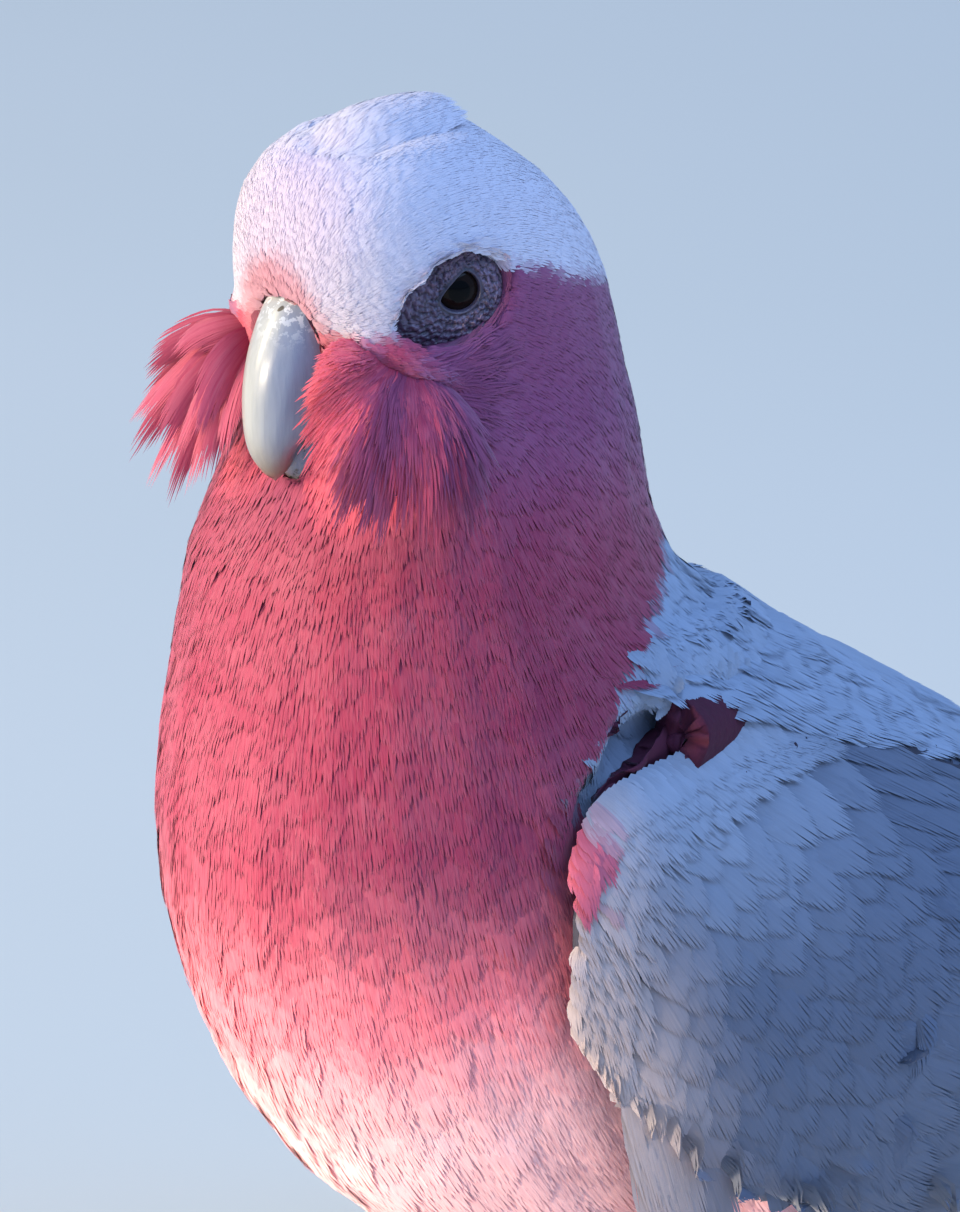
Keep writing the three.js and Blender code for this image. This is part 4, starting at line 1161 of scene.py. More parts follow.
def make_wings():
    colours = bpy.context.scene.galah_colours
    soft = vane_material("covert_feathers", colours.covert, front=True)
    firm = vane_material("wing_feathers", colours.secondary)
    flight = vane_material("flight_feathers", colours.primary)
    surface = Surface(*hull_over(["wing_left_coverts", "wing_left_secondaries"], swell=0.5, smoothing=8))
    for side, word in SIDES:
        rng = np.random.default_rng(40 + side)
        sunk = 1.2 - np.minimum(fold_height(surface.points), 0)
        points = (surface.points - surface.normals * sunk[:, None]) * [side, 1, 1]
        under = new_object(f"wing_{word}_skin", points, surface.triangles[:, ::side], under_wing_material())
        dressed(under, "wing_grey")
        coverts = small_coverts(surface, rng) + rim_coverts(rng)
        for u, reach, drop, width in ((0.285, 0.115, 0.12, 5.8), (0.33, 0.125, 0.1, 6.2)):
            v = np.linspace(0.03, 0.95, 15) + rng.normal(0, 0.006, 15)
            start = u + 0.03 * np.cos(2 * np.pi * (v - 0.35)) + rng.normal(0, 0.003, 15)
            coverts.append(wing_row(start, v, reach, drop, width, 1.4, 0.35, rng, **FIRM))
        start, v = 0.085 + 0.07 * rng.random(9), np.linspace(0.84, 1.0, 9)
        coverts.append(wing_row(start, v, 0.1, 0.3, 3.9, 0.8, 0.1, rng, count=19, narrow=0.45,
                                rounding=0.5, ragged=0.05, stray=0.015, steps=5))
        secondaries = []
        for count, u, reach, width, deep in ((15, 0.36, 0.17, 6.8, 1.2), (12, 0.4, 0.26, 8.2, 1.3),
                                             (10, 0.46, 0.28, 8.2, 1.4)):
            v = np.linspace(0.03, 0.95, count) + rng.normal(0, 0.004, count)
            start = u + 0.04 * np.cos(2 * np.pi * (v - 0.35))
            style = {**FIRM, "count": 23, "steps": 7, "rounding": 0.2, "ragged": 0.02}
            secondaries.append(wing_row(start, v, reach, 0.04 * (1 - v), width, deep, 0.25, rng, **style))
        order = np.linspace(0, 1, 9)
        v = 0.12 + 0.78 * order
        primaries = [wing_row(np.full(9, 0.5), v, 0.49 - 0.2 * order, (0.5 - v) * 0.45, 6.2, 0.8, 0.0, rng,
                              steps=12, kind=vanes)]
        for part, node, sets, material, slot in (("covert", "coverts", coverts, soft, "wing_grey"),
                                                 ("secondary", "secondaries", secondaries, firm, "wing_grey"),
                                                 ("primary", "primaries", primaries, flight, "flight_grey")):
            sets = [mirrored(feathers, side) for feathers in sets]
            coat_object(f"wing_{word}_{part}_feathers", sets, material, slot, f"wing_{word}_{node}")


# The tail.

TAIL = {"root": (0, 152, 73), "tip": (0, 283, 12.4), "root_half": 9, "tip_half": 19, "sag": 5}


def make_tail():
    """The twelve tail feathers, folded over each other with the middle pair on top."""
    firm = vane_material("tail_feathers", bpy.context.scene.galah_colours.tail)
    rng = np.random.default_rng(7)
    root, tip = np.array(TAIL["root"], float), np.array(TAIL["tip"], float)
    share = np.linspace(0, 1, 13)
    half = TAIL["root_half"] + (TAIL["tip_half"] - TAIL["root_half"]) * share ** 0.8
    outer = range(1, 6)
    for node, sides, numbers in (("tail_centre", (1, -1), (0,)), ("tail_left", (1,), outer),
                                 ("tail_right", (-1,), outer)):
        lines = []
        for side in sides:
            for number in numbers:
                x = (number + 0.35) / 5.35 * side * half
                line = root + (tip - root) * (share * (1 - 0.012 * number))[:, None]
                height = -TAIL["sag"] * (x / 25) ** 2 + 0.8 - 0.32 * number
                lines.append(line + np.stack([x, 0 * x, height], 1))
        ways = unit(np.gradient(np.array(lines), axis=1))
        normal = unit(np.cross(ways, np.array([-1.0, 0, 0])))
        made = feathered(vanes, (np.array(lines), ways, normal), 6.3, rng, cup=0.08, tip=0.07, root=0.6)
        slot = "wing_grey" if node == "tail_centre" else "flight_grey"
        coat_object(node + "_feathers", [made], firm, slot, node)


# Cheeks and crest.

# The left cheek fan, from over the bill round below to behind the eye: where its feathers start and end, and how
# far they bulge between the two.
CHEEK_FAN = [
    ((14.5, 1.5, 186.5), (9.8, -3.2, 185.5), (0.6, -1.0, 0.8)),
    ((15.3, 2.5, 185.8), (9.2, -5.6, 180.5), (1.6, -2.0, 1.2)),
    ((16, 3.5, 185), (9.8, -7.6, 174.5), (2.6, -3.0, 1.6)),
    ((16.6, 4.5, 184.2), (13.1, -9.2, 168), (3.2, -3.4, 1.8)),
    ((17, 5.2, 183.6), (18.6, -10.5, 162.5), (3.8, -3.4, 2.0)),
    ((17.6, 6, 183), (25.5, -8, 160), (4.4, -3, 2.2)),
    ((18.2, 7, 182.6), (32, -2, 158.8), (4.2, -2.2, 2.2)),
    ((18.8, 8.2, 182.4), (31.5, 8, 161), (3.2, -1.4, 1.8)),
    ((19.3, 9.5, 182.4), (28.5, 16, 167), (2.0, -0.6, 1.0)),
]
CHEEK_HEART = np.array([6.0, 12, 176])  # inside the head, behind the fan
# Places whose markings the fan's feathers show: red over the bill, mauve below, pale before the rear tuft.
# The red over the bill is partly painted light on the lit front lobe; the mauve below is painted shade on the
# lower lobe.
CHEEK_MARKS = [
    (13, -4, 176), (13, -4, 176), (14, -3, 174), (19, 2, 170), (23.5, 9, 168), (24, 10, 168),
    (22.5, 7, 168), (25, 13, 168), (26, 22, 170),
]
# Layers of the cheek: the share of the full reach, how far it is puffed up, and how many feathers it has.
CHEEK_LAYERS = [
    (0.34, 2.6, 70), (0.48, 2.5, 90), (0.62, 2.1, 100), (0.76, 1.5, 110), (0.89, 0.8, 110), (1.0, 0.2, 100),
]
CHEEK_LOBES = [(0.2, 0.12, 1.3), (0.52, 0.13, 1.0), (0.9, 0.08, 1.0)]  # place along the fan, width, height


def cheek_swell(fan):
    """How far the lobes of the cheek puff up at a place along its fan."""
    return sum(height * np.exp(-((fan - middle) / width) ** 2) for middle, width, height in CHEEK_LOBES)


def cheek_feathers(rng):
    """Layers of long soft feathers that fan out from the gape in puffed lobes, the shortest on top."""
    sets = []
    starts, ends, bulges = (np.array([row[k] for row in CHEEK_FAN], float) for k in range(3))
    for reach, height, count in CHEEK_LAYERS:
        fan = np.clip((np.arange(count) + 0.5 + rng.uniform(-0.8, 0.8, count)) / count, 0, 1)
        first = reach * rng.uniform(0, 0.5, count)[:, None, None]
        last = (reach * rng.uniform(0.8, 1.06, count))[:, None, None]
        at = first + np.linspace(0, 1, 7)[None, :, None] * (last - first)
        sway = rng.normal(0, 0.5, (count, 1, 3)) * at ** 2
        clumps = round(12 + 12 * reach)
        off_clump = (fan * clumps) % 1 - 0.5
        start, bulge = (through(table, fan)[:, None] for table in (starts, bulges))
        end = through(ends, np.clip(fan - 0.7 * off_clump / clumps, 0, 1))[:, None]
        line = start + (end - start) * at + bulge * np.sin(np.pi * at * 0.85) + sway
        ways = unit(np.gradient(line, axis=1))
        step = through(ends, np.clip(fan + 0.02, 0, 1)) - through(ends, np.clip(fan - 0.02, 0, 1))
        slope = 5.0 * (cheek_swell(fan + 0.02) - cheek_swell(fan - 0.02)) / np.linalg.norm(step, axis=1)
        puffed = unit(line - CHEEK_HEART)
        turned = slope[:, None, None] - 0.9 * off_clump[:, None, None] * at
        normal = puffed - unit(step)[:, None] * turned + ways * np.interp(at, [0, 0.5, 1.0], [-0.3, 0.1, 1.0])
        normal = square_to(normal, ways, 0.6)
        swell = (height * (0.3 + cheek_swell(fan)))[:, None, None]
        line = line + puffed * swell * np.minimum(1, at * 3)
        made = feathered(locks, (line, ways, normal), 1.0 + 0.5 * reach, rng, count=9, steps=5, narrow=0.3,
                         rounding=0.3, ragged=0.3, lift=0.15, cup=0.1, stray=0.12, overlap=1.3, tilt=0.1)
        marks = through(CHEEK_MARKS, np.clip(fan + rng.normal(0, 0.03, count), 0, 1))
        sets.append((*made[:-1], marks))
    return sets


# Tips of the broad feathers of the right cheek, as on a left one, the lowest layer first.
PETALS = [
    (31, -3, 170), (32.5, -5, 165), (30, -6.5, 160.5), (25, -7.5, 157.5), (19, -8.5, 156.5),
    (13.5, -9.2, 159), (9, -9.5, 162), (5, -9.5, 166), (28, -4, 174), (26, -6, 167.5), (20, -8, 163.5),
    (14, -9, 164.5), (9, -8.8, 169), (21, -4, 178),
]
PETAL_MARK = (4, -7, 163)  # the place on the throat whose colour they have


def petals(rng):
    """Broad feathers held out from the face, seen apart from each other."""
    tips = np.array(PETALS, float)
    number = np.arange(len(tips))
    roots = np.array([12, 3, 183]) + (tips - tips.mean(0)) * [0.15, 0.1, 0.12]
    share = np.linspace(0, 1, 8)[None, :, None]
    layer = np.interp(number, [0, 7, 8, 13], [0, 0, 1.9, 2.4])[:, None, None]
    line = roots[:, None] + (tips - roots)[:, None] * share + np.array([0.6, -1, 1.2]) * np.sin(np.pi * share)
    line = line + np.array([-0.1, -0.9, 0.2]) * layer * share ** 0.5
    ways = unit(np.gradient(line, axis=1))
    turned = np.where(number % 2, 0.35, -0.35)[:, None, None] * [1, 0, 1]
    normal = np.array([-0.3, -0.7, 0.1]) + turned + 0 * line
    normal = square_to(normal, ways)
    half = rng.uniform(2.8, 3.3, len(tips))
    made = feathered(locks, (line, ways, normal), half, rng, count=23, steps=7, narrow=0.3, rounding=0.4,
                     ragged=0.12, cup=0.3, stray=0.02, lift=0.03, crown=0.7)
    return (*made[:-1], np.full(tips.shape, PETAL_MARK))


def face_hairs(rng, count=260):
    """Long fine feathers that stream from the gape back over the side of the face."""
    start = np.array([19.5, 8, 181.5]) + rng.normal(0, [0.6, 1.8, 1.6], (count, 3))
    turn = rng.uniform(-0.5, 1.15, count)
    ways = np.stack([0.1 + 0 * turn, np.cos(turn), -np.sin(turn)], 1)
    lengths = rng.uniform(6, 16, count)
    rise = rng.uniform(-0.1, 0.6, count)
    midlines = laid(body_surface(), start, lengths, 0.4, rise, steps=6, ways=ways)
    return feathered(locks, midlines, 1.0, rng, count=5, steps=5, narrow=0.3, rounding=0.3, ragged=0.35,
                     lift=0.1, stray=0.1, overlap=1.1)


def make_cheeks():
    for side, word in SIDES:
        rng = np.random.default_rng(60 + side)
        sets = cheek_feathers(rng) if side > 0 else [petals(rng)]
        sets = [mirrored(feathers, side) for feathers in (*sets, face_hairs(rng))]
        coat_object(f"cheek_{word}_feathers", sets, down_material(), "rose_pink", f"cheek_{word}")


CREST = {"half_width": 9.5, "front": 0, "full": 15, "tips": 28.5}


def crest_surface():
    """The crown, swollen by the feathers that lie folded along its middle."""
    outline = body_surface()
    x, y, z = outline.points.T
    swell = np.clip(1 - (x / CREST["half_width"]) ** 2, 0, 1) ** 1.5
    rising = np.clip((y - CREST["front"]) / (CREST["full"] - CREST["front"]), 0, 1)
    height = bpy.context.scene.galah_sizes.crest / MM * swell * rising ** 2 * (3 - 2 * rising) * (z > 200)
    return Surface(outline.points + outline.normals * height[:, None], outline.triangles)


def crest_root(places):
    """Where feathers of the crest spring from."""
    x, y, z = places.T
    return (np.abs(x) < 8) & (y > 1) & (y < 21) & (z > 205)


def make_crest():
    """The long narrow feathers of the crest, lying flat along the crown with their tips just free of it."""
    rng = np.random.default_rng(70)
    surface = crest_surface()
    roots = surface.scatter(lambda places: np.full(len(places), 1.1), crest_root, seed=71)
    lengths = np.minimum(rng.uniform(6, 10, len(roots)), CREST["tips"] - roots[:, 1])
    ways = unit(np.array([0, 1, 0]) + roots * [-0.012, 0, 0])
    rise = rng.uniform(-0.15, 0.0, len(roots)) + np.interp(roots[:, 1] + lengths, [22, 28], [0, 0.35])
    midlines = laid(surface, roots, lengths, 0.9, rise, steps=5, ways=ways)
    made = feathered(locks, midlines, 1.3, rng, count=11, narrow=0.5, rounding=0.45, ragged=0.12, overlap=1.6,
                     crown=0.1)
    coat_object("crest_feathers", [made], down_material(), "crown_white", "crest")


# Eyes.

LID = {"opening": 2.95, "chord": 1.45, "chord_turn": math.radians(65), "margin": 0.55, "rim": 0.32}
PAPILLAE_APART = 0.7


def opening_reach(turn):
    """From the eye's middle to the edge of its opening: a round with a straight upper lid."""
    towards = np.cos(turn - LID["chord_turn"])
    chord = LID["chord"] / np.maximum(towards, 1e-3)
    return (LID["opening"] ** -6.0 + np.maximum(chord, 0.1) ** -6.0) ** (-1 / 6)


def tube_triangles(rows, columns):
    """Triangles of a tube of points, row by row, whose last column joins its first."""
    i, j = np.meshgrid(np.arange(rows - 1), np.arange(columns), indexing="ij")
    a, b = i * columns + j, i * columns + (j + 1) % columns
    return np.stack([a, b, b + columns, a, b + columns, a + columns], -1).reshape(-1, 3)


def cells(places, apart, seed):
    """Height from 0 to 1 of rounded cells strewn over flat places, about this far apart."""
    rng = np.random.default_rng(seed)
    square = np.floor(places / apart).astype(int)
    best = np.full(len(places), 9.0)
    salt = rng.random((97, 89, 2))
    for di in (-1, 0, 1):
        for dj in (-1, 0, 1):
            cell = square + [di, dj]
            middle = (cell + 0.15 + 0.7 * salt[cell[:, 0] % 97, cell[:, 1] % 89]) * apart
            best = np.minimum(best, np.linalg.norm(places - middle, axis=1))
    return np.clip(1 - (best / (0.62 * apart)) ** 2, 0, 1)


def about_eye(side, ahead, above, out_by):
    """Points and triangles of a round surface about an eye, from its reach each way for each ring and turn."""
    out, forwards, across = eye_frame()
    points = EYE + ahead[..., None] * forwards + above[..., None] * across + out_by[..., None] * out
    return points.reshape(-1, 3) * [side, 1, 1], tube_triangles(*ahead.shape)[:, ::side]


def eye_ring(side, turns=260, rows=74):
    """The bare ring round an eye, from inside its lids out to where it dips under the feathers."""
    _, forwards, across = eye_frame()
    middle = np.array([ring_offset() @ forwards, ring_offset() @ across])
    turn = round_about(turns)
    way = np.stack([np.cos(turn), np.sin(turn)], 1)
    tries = np.linspace(3, 16, 300)
    out_to = ring_share(way[:, :1] * tries - middle[0], way[:, 1:] * tries - middle[1])
    edge = tries[(out_to < 1).sum(1)] + 0.9
    opening = opening_reach(turn)
    lid = np.array([-0.35, -0.12, 0.0, 0.1, 0.22, 0.36, 0.5, 0.66])
    share = np.linspace(0, 1, rows - len(lid) + 1)[1:]
    lids = opening[None] + lid[:, None]
    reach = np.concatenate([lids, lids[-1] + (edge[None] - lids[-1]) * share[:, None]])
    p, q = reach * way[:, 0], reach * way[:, 1]
    inside = 1 - (ring_share(p - middle[0], q - middle[1]) / 1.12) ** 2
    lens = 3.1 + 2.5 * np.sqrt(np.clip(inside, 0, 1))
    ball = np.sqrt(EYE_RADIUS ** 2 - np.minimum(reach, 5) ** 2)
    from_lid = reach - opening[None]
    rim = LID["rim"] * np.exp(-((from_lid - 0.28) / 0.2) ** 2)
    blend = np.clip((from_lid + 0.1) / 0.35, 0, 1)
    height = (ball - 0.25) * (1 - blend) + np.maximum(lens, ball + 0.2) * blend + rim
    flat = np.stack([p.ravel(), q.ravel()], 1)
    fine = cells(flat, PAPILLAE_APART, 3) + 0.45 * cells(flat + 7.3, PAPILLAE_APART * 0.55, 4)
    fine = fine.reshape(p.shape)
    skin = np.clip((from_lid - 0.5) / 0.5, 0, 1) * np.clip(inside * 5, 0, 1)
    folds = 0.14 * np.sin(from_lid * 5.2 + 0.9 * np.sin(3 * turn) + 0.6 * np.sin(7 * turn + from_lid))
    folds = folds + 0.09 * np.sin(turn * 21 + 2 * np.sin(from_lid * 1.7))
    height = height + skin * (bpy.context.scene.galah_sizes.pebble / MM * fine + folds)
    height = height - 1.6 * np.clip(1 - inside * 7, 0, 1) ** 2
    margin = np.exp(-((from_lid - 0.25) / 0.3) ** 2) * (0.45 + 0.55 * np.clip(-np.sin(turn - 0.6), 0, 1))
    return *about_eye(side, p, q, height), margin.ravel(), (fine * skin).ravel()


def ring_material():
    """Bare mauve-grey skin, pebbled, with painted shade between its papillae, and a pale lid margin."""
    made, tree = new_material(
        "bare_skin", Roughness=0.4, Specular_IOR_Level=0.55, Coat_Weight=0.3, Coat_Roughness=0.25)
    place = on_object(tree)
    blotch = noise(tree, place, 420, 3).between(0.3, 0.7)
    colour = blended(tree, blotch, srgb(88, 74, 94), bpy.context.scene.galah_colours.bare_skin)
    # Painted shade: darker in the hollows between the papillae.
    colour = blended(tree, kept(tree, "pebble").between(0.0, 0.9), hsv(tree, colour, 1.15, 0.32), colour)
    colour = blended(tree, kept(tree, "rim") * 0.6, colour, srgb(108, 98, 116))
    dyed(tree, colour, noise(tree, place, 2600, 3), 0.6, 0.0002)
    return made


def eyeball(side, rings=40, turns=48):
    """A ball with a slight cornea, facing out of the head."""
    lean = np.linspace(0.004, np.pi - 0.004, rings)[:, None]
    turn = round_about(turns)
    reach = EYE_RADIUS * np.sin(lean) * np.ones(turns)
    height = EYE_RADIUS * np.cos(lean) + 0.3 * np.clip(1 - (reach / 3.2) ** 2, 0, 1) * (lean < 1.5)
    from_middle = np.where(lean < 1.5, reach, 9).ravel()
    return *about_eye(side, reach * np.cos(turn), reach * np.sin(turn), height), from_middle


def eye_material():
    """A wet dark eye: a black pupil in a nearly black brown iris."""
    made, tree = new_material(
        "eye_dark", Roughness=0.06, Specular_IOR_Level=0.05, Coat_Weight=0.12, Coat_Roughness=0.02)
    from_middle = kept(tree, "from_middle")
    iris = blended(tree, noise(tree, on_object(tree), 1500, 2), srgb(22, 13, 11), srgb(36, 22, 17))
    colour = blended(tree, from_middle.between(1.5, 1.75), srgb(4, 3, 4), iris)
    dyed(tree, blended(tree, from_middle.between(2.9, 3.4), colour, srgb(24, 18, 20)))
    return made


def make_eyes():
    skin, dark = ring_material(), eye_material()
    for side, word in SIDES:
        points, triangles, rim, pebble = eye_ring(side)
        ring = new_object(f"eye_ring_skin_{word}", points, triangles, skin)
        add_attribute(ring.data, "rim", rim)
        add_attribute(ring.data, "pebble", pebble)
        dressed(ring, "bare_skin", f"eye_ring_{word}")
        points, triangles, from_middle = eyeball(side)
        ball = new_object(f"eyeball_{word}", points, triangles, dark)
        add_attribute(ball.data, "from_middle", from_middle)
        dressed(ball, "eye_dark", f"eye_{word}")


# Bill.

# Slices of the bill: the foremost and the rearmost point in side view as (y, z), the half width, and how far
# back the widest place lies as a share of the slice.
UPPER_BILL = [
    ((3.5, 196), (3.5, 196), 0, 0.6), ((0.4, 194.2), (8, 194.6), 4.2, 0.6),
    ((-3.6, 190), (10, 190.5), 6.6, 0.62), ((-6.4, 184.5), (11, 185), 7.4, 0.62),
    ((-7.9, 178.5), (9.5, 179), 7.1, 0.6), ((-8, 173), (5, 174), 6, 0.58),
    ((-7.2, 168.8), (-0.4, 170.5), 4.2, 0.55), ((-5.4, 165.8), (-1.4, 167), 2.4, 0.5),
    ((-3.4, 164.2), (-3.4, 164.2), 0, 0.5),
]
LOWER_BILL = [
    ((9, 177), (9, 177), 0, 0.6), ((1, 175), (13, 176), 5.4, 0.6), ((-1.6, 171), (14, 171), 6.2, 0.6),
    ((-2, 166.6), (13, 166), 5.4, 0.6), ((0.4, 163.4), (10, 163), 3.4, 0.6),
    ((5, 162.2), (5, 162.2), 0, 0.6),
]
RIDGES = 0.0016  # how far the faint ridges along the bill swell it, as a share of its width


def slice_points(slices, shares, turns):
    """Points round slices, at shares of the way from the first to the last."""
    front = through([piece[0] for piece in slices], shares)[:, None]
    back = through([piece[1] for piece in slices], shares)[:, None]
    half, widest = through([piece[2:] for piece in slices], shares).T[..., None]
    centre = front + (back - front) * widest[..., None]
    ahead = (np.sin(turns) > 0)[None, :, None]
    flat = centre + np.where(ahead, front - centre, centre - back) * np.sin(turns)[:, None]
    return np.concatenate([(np.maximum(half, 0) * np.cos(turns))[..., None], flat], -1)


def capped(rings, turns):
    """Triangles of a closed tube whose two end points come after those of its rings."""
    k, last = np.arange(turns), (rings - 1) * turns
    start = np.full(turns, rings * turns)
    front = np.stack([start, (k + 1) % turns, k], 1)
    back = np.stack([start + 1, last + k, last + (k + 1) % turns], 1)
    return np.concatenate([tube_triangles(rings, turns), front, back])


def bill_half(slices, rings, turns):
    """One half of the bill, faintly ridged along: points, triangles and how far along each point is."""
    share = np.linspace(0.012, 0.995, rings)
    turn = round_about(turns)
    points = slice_points(slices, share, turn)
    rng = np.random.default_rng(9)
    waves = sum(rng.normal() * np.sin(k * turn + rng.uniform(0, 6)) for k in range(5, 23, 3))
    ridge = 1 + RIDGES * waves[None] * np.sin(np.pi * share)[:, None]
    middle = points.mean(1, keepdims=True)
    points = middle + (points - middle) * ridge[..., None]
    ends = [points[0].mean(0), points[-1].mean(0)]
    points = np.concatenate([points.reshape(-1, 3), ends])
    return points, capped(rings, turns)[:, ::-1], np.append(np.repeat(share, turns), [0, 1])


def bill_material(lower):
    """Bone-coloured horn with fine growth lines, a flaking edge at its root, a yellowish worn tip and painted
    shade down its left side.
    """
    colours = bpy.context.scene.galah_colours
    made, tree = new_material(
        "lower_bill_horn" if lower else "bill_horn", Roughness=0.34, Coat_Weight=0.35, Coat_Roughness=0.2,
        Subsurface_Weight=0.08, Subsurface_Radius=(0.004, 0.003, 0.002), Subsurface_Scale=0.5)
    place = on_object(tree)
    far = kept(tree, "along")
    stretched = fed(tree, "ShaderNodeMapping", {"Vector": place, "Scale": (1, 1, 0.07)}).outputs[0]
    lines = noise(tree, stretched, 1900, 3, 0.6)
    worn = noise(tree, place, 700, 4, 0.65)
    # Painted shade: the bill's left side, turned from the key light, is darker and bluer.
    side = (numbers_of(tree, place)[0] * (1 / MM) + noise(tree, stretched, 300, 2) * 6).between(2.5, 8)
    colour = blended(tree, side, colours.bill, colours.bill_painted_shade)
    colour = blended(tree, lines.between(0.35, 0.75) * 0.35, colour, hsv(tree, colour, 1.2, 0.72))
    colour = blended(tree, far.between(0.6, 0.9) * 0.9, colour, colours.bill_tip)
    if lower:
        colour = blended(tree, worn.between(0.52, 0.66), colour, colours.bill_stain)
    else:
        flake = far.between(0.4, 0.14) * worn.between(0.52, 0.56)
        colour = blended(tree, flake, colour, colours.bill_flake)
        speck = noise(tree, place, 330, 1).between(0.76, 0.79)
        colour = blended(tree, speck, colour, colours.bill_stain)
    dyed(tree, colour, lines * 0.6 + worn * far.between(0.32, 0.1) * 2.2, 0.5, 0.00015)
    return made


def make_bill():
    for node, slices, rings, turns in (("upper_bill", UPPER_BILL, 90, 96), ("lower_bill", LOWER_BILL, 50, 80)):
        points, triangles, share = bill_half(slices, rings, turns)
        half = new_object(node + "_horn", points, triangles, bill_material(node == "lower_bill"))
        add_attribute(half.data, "along", share)
        dressed(half, "bill_horn", node)


# Legs.

FOOT = (21, 66)  # where the toes of the left foot meet, x and y
SHANK = [(20.8, 79, 31), (20.5, 77, 25), (20.7, 71.5, 15), (21, 66.6, 4.4)]
SHANK_GIRTH = [3.6, 3.0, 2.7, 3.3]
# Toes: heading in degrees from straight ahead, positive outwards, and the lengths of the toe and of its claw.
TOES = [(-10, 20, 8), (17, 26, 9), (152, 21, 9), (196, 13, 7)]
TOE_GIRTH = [3.3, 2.9, 3.05, 2.5, 2.75, 2.2, 2.35, 1.7]


def toe_place(heading, distance, height):
    turn = math.radians(heading)
    return FOOT[0] + math.sin(turn) * distance, FOOT[1] - math.cos(turn) * distance, height


def limb_path(points, girths, step=0.5):
    """A line of edges with the limb's half thickness kept at each point."""
    length = np.linalg.norm(np.diff(points, axis=0), axis=1).sum()
    share = np.linspace(0, 1, max(4, int(length / step)))
    line = through(points, share)
    mesh = bpy.data.meshes.new("path")
    mesh.from_pydata(to_frame(line).tolist(), [(i, i + 1) for i in range(len(line) - 1)], [])
    add_attribute(mesh, "girth", through(np.array(girths, float)[:, None], share)[:, 0] * MM)
    return mesh


def scaled_limb_tree():
    """Grows a limb along a path, with broad scutes down its front and top and small round scales elsewhere."""
    lengths = dict.fromkeys(("Ring Step", "Scute Length", "Scale Size", "Height"), "Float")
    inputs = {"Path": "Geometry", **lengths, "Skin": "Material"}
    tree, start, end = new_group("scaled_limb", inputs, {"Limb": "Geometry"}, "GeometryNodeTree")

    def grow(kind, output=0, inputs={}, **settings):
        """One output of a new node."""
        return fed(tree, "GeometryNode" + kind, inputs, **settings).outputs[output]

    path = grow("MeshToCurve", inputs={"Mesh": start.outputs["Path"]})
    rings = grow("ResampleCurve", inputs={"Curve": path, "Length": start.outputs["Ring Step"]}, mode="LENGTH")
    far = grow("SplineParameter", "Length")
    marked = grow("StoreNamedAttribute", inputs={"Geometry": rings, "Name": "far", "Value": far})
    circle = grow("CurvePrimitiveCircle", inputs={"Resolution": 44, "Radius": 1.0})
    girth = grow("InputNamedAttribute", "Attribute", {"Name": "girth"})
    limb = grow("CurveToMesh", inputs={
        "Curve": marked, "Profile Curve": circle, "Scale": girth, "Fill Caps": True})
    normal = grow("InputNormal")
    _, backwards, upwards = numbers_of(tree, normal)
    scales = fed(tree, "ShaderNodeTexVoronoi", {
        "Vector": grow("InputPosition"), "Scale": 1.0 / Sum(tree, start.outputs["Scale Size"])})
    pebble = 1 - Sum(tree, scales.outputs["Distance"]).power(2) * 1.6
    far = Sum(tree, grow("InputNamedAttribute", "Attribute", {"Name": "far"}))
    scute = (far * math.pi / Sum(tree, start.outputs["Scute Length"])).sine().size().power(0.3)
    top = (upwards * 0.8 - backwards * 0.75).between(0.25, 0.5)
    raised = pebble * (1 - top) + scute * top
    limb = grow("StoreNamedAttribute", inputs={"Geometry": limb, "Name": "raised", "Value": raised})
    height = raised * Sum(tree, start.outputs["Height"])
    lift = fed(tree, "ShaderNodeVectorMath", {0: normal, "Scale": height}, operation="SCALE").outputs[0]
    limb = grow("SetPosition", inputs={"Geometry": limb, "Offset": lift})
    limb = grow("RealizeInstances", inputs={0: limb})
    limb = grow("SetMaterial", inputs={"Geometry": limb, "Material": start.outputs["Skin"]})
    tree.links.new(limb, end.inputs["Limb"])
    return tree


def grown(path, tree, settings):
    """The plain mesh that a node tree makes of a path."""
    source = placed("limb", path)
    modifier = source.modifiers.new("grow", "NODES")
    modifier.node_group = tree
    for item in tree.interface.items_tree:
        if item.in_out == "INPUT" and item.name in settings:
            modifier[item.identifier] = settings[item.name]
    seen = source.evaluated_get(bpy.context.evaluated_depsgraph_get())
    mesh = bpy.data.meshes.new_from_object(seen)
    bpy.data.objects.remove(source)
    return mesh


def claw(points, radii, rings=22, turns=20):
    """One curved tapering claw, a little flattened from side to side."""
    share = np.linspace(0, 1, rings)
    line = through(points, share)
    radius = np.interp(share, np.linspace(0, 1, len(radii)), radii)
    tangent = unit(np.gradient(line, axis=0))
    side = unit(np.cross(tangent, [0, 0, 1.0]))
    up = np.cross(side, tangent)
    turn = round_about(turns)
    ring = side[:, None] * np.cos(turn)[None, :, None] * 0.8 + up[:, None] * np.sin(turn)[None, :, None]
    points = (line[:, None] + ring * radius[:, None, None]).reshape(-1, 3)
    return np.concatenate([points, line[:1], line[-1:]]), capped(rings, turns)


def leg_material():
    """Dusty grey scaled skin, darker in the grooves between the scales."""
    made, tree = new_material("leg_scales", Roughness=0.6, Specular_IOR_Level=0.35)
    place = on_object(tree)
    blotch = noise(tree, place, 260, 3).between(0.3, 0.7)
    colour = blended(tree, blotch, srgb(112, 106, 108), bpy.context.scene.galah_colours.leg)
    colour = blended(tree, kept(tree, "raised").between(0.75, 0.3), colour, srgb(74, 68, 72))
    dyed(tree, colour, noise(tree, place, 3200, 3))
    return made


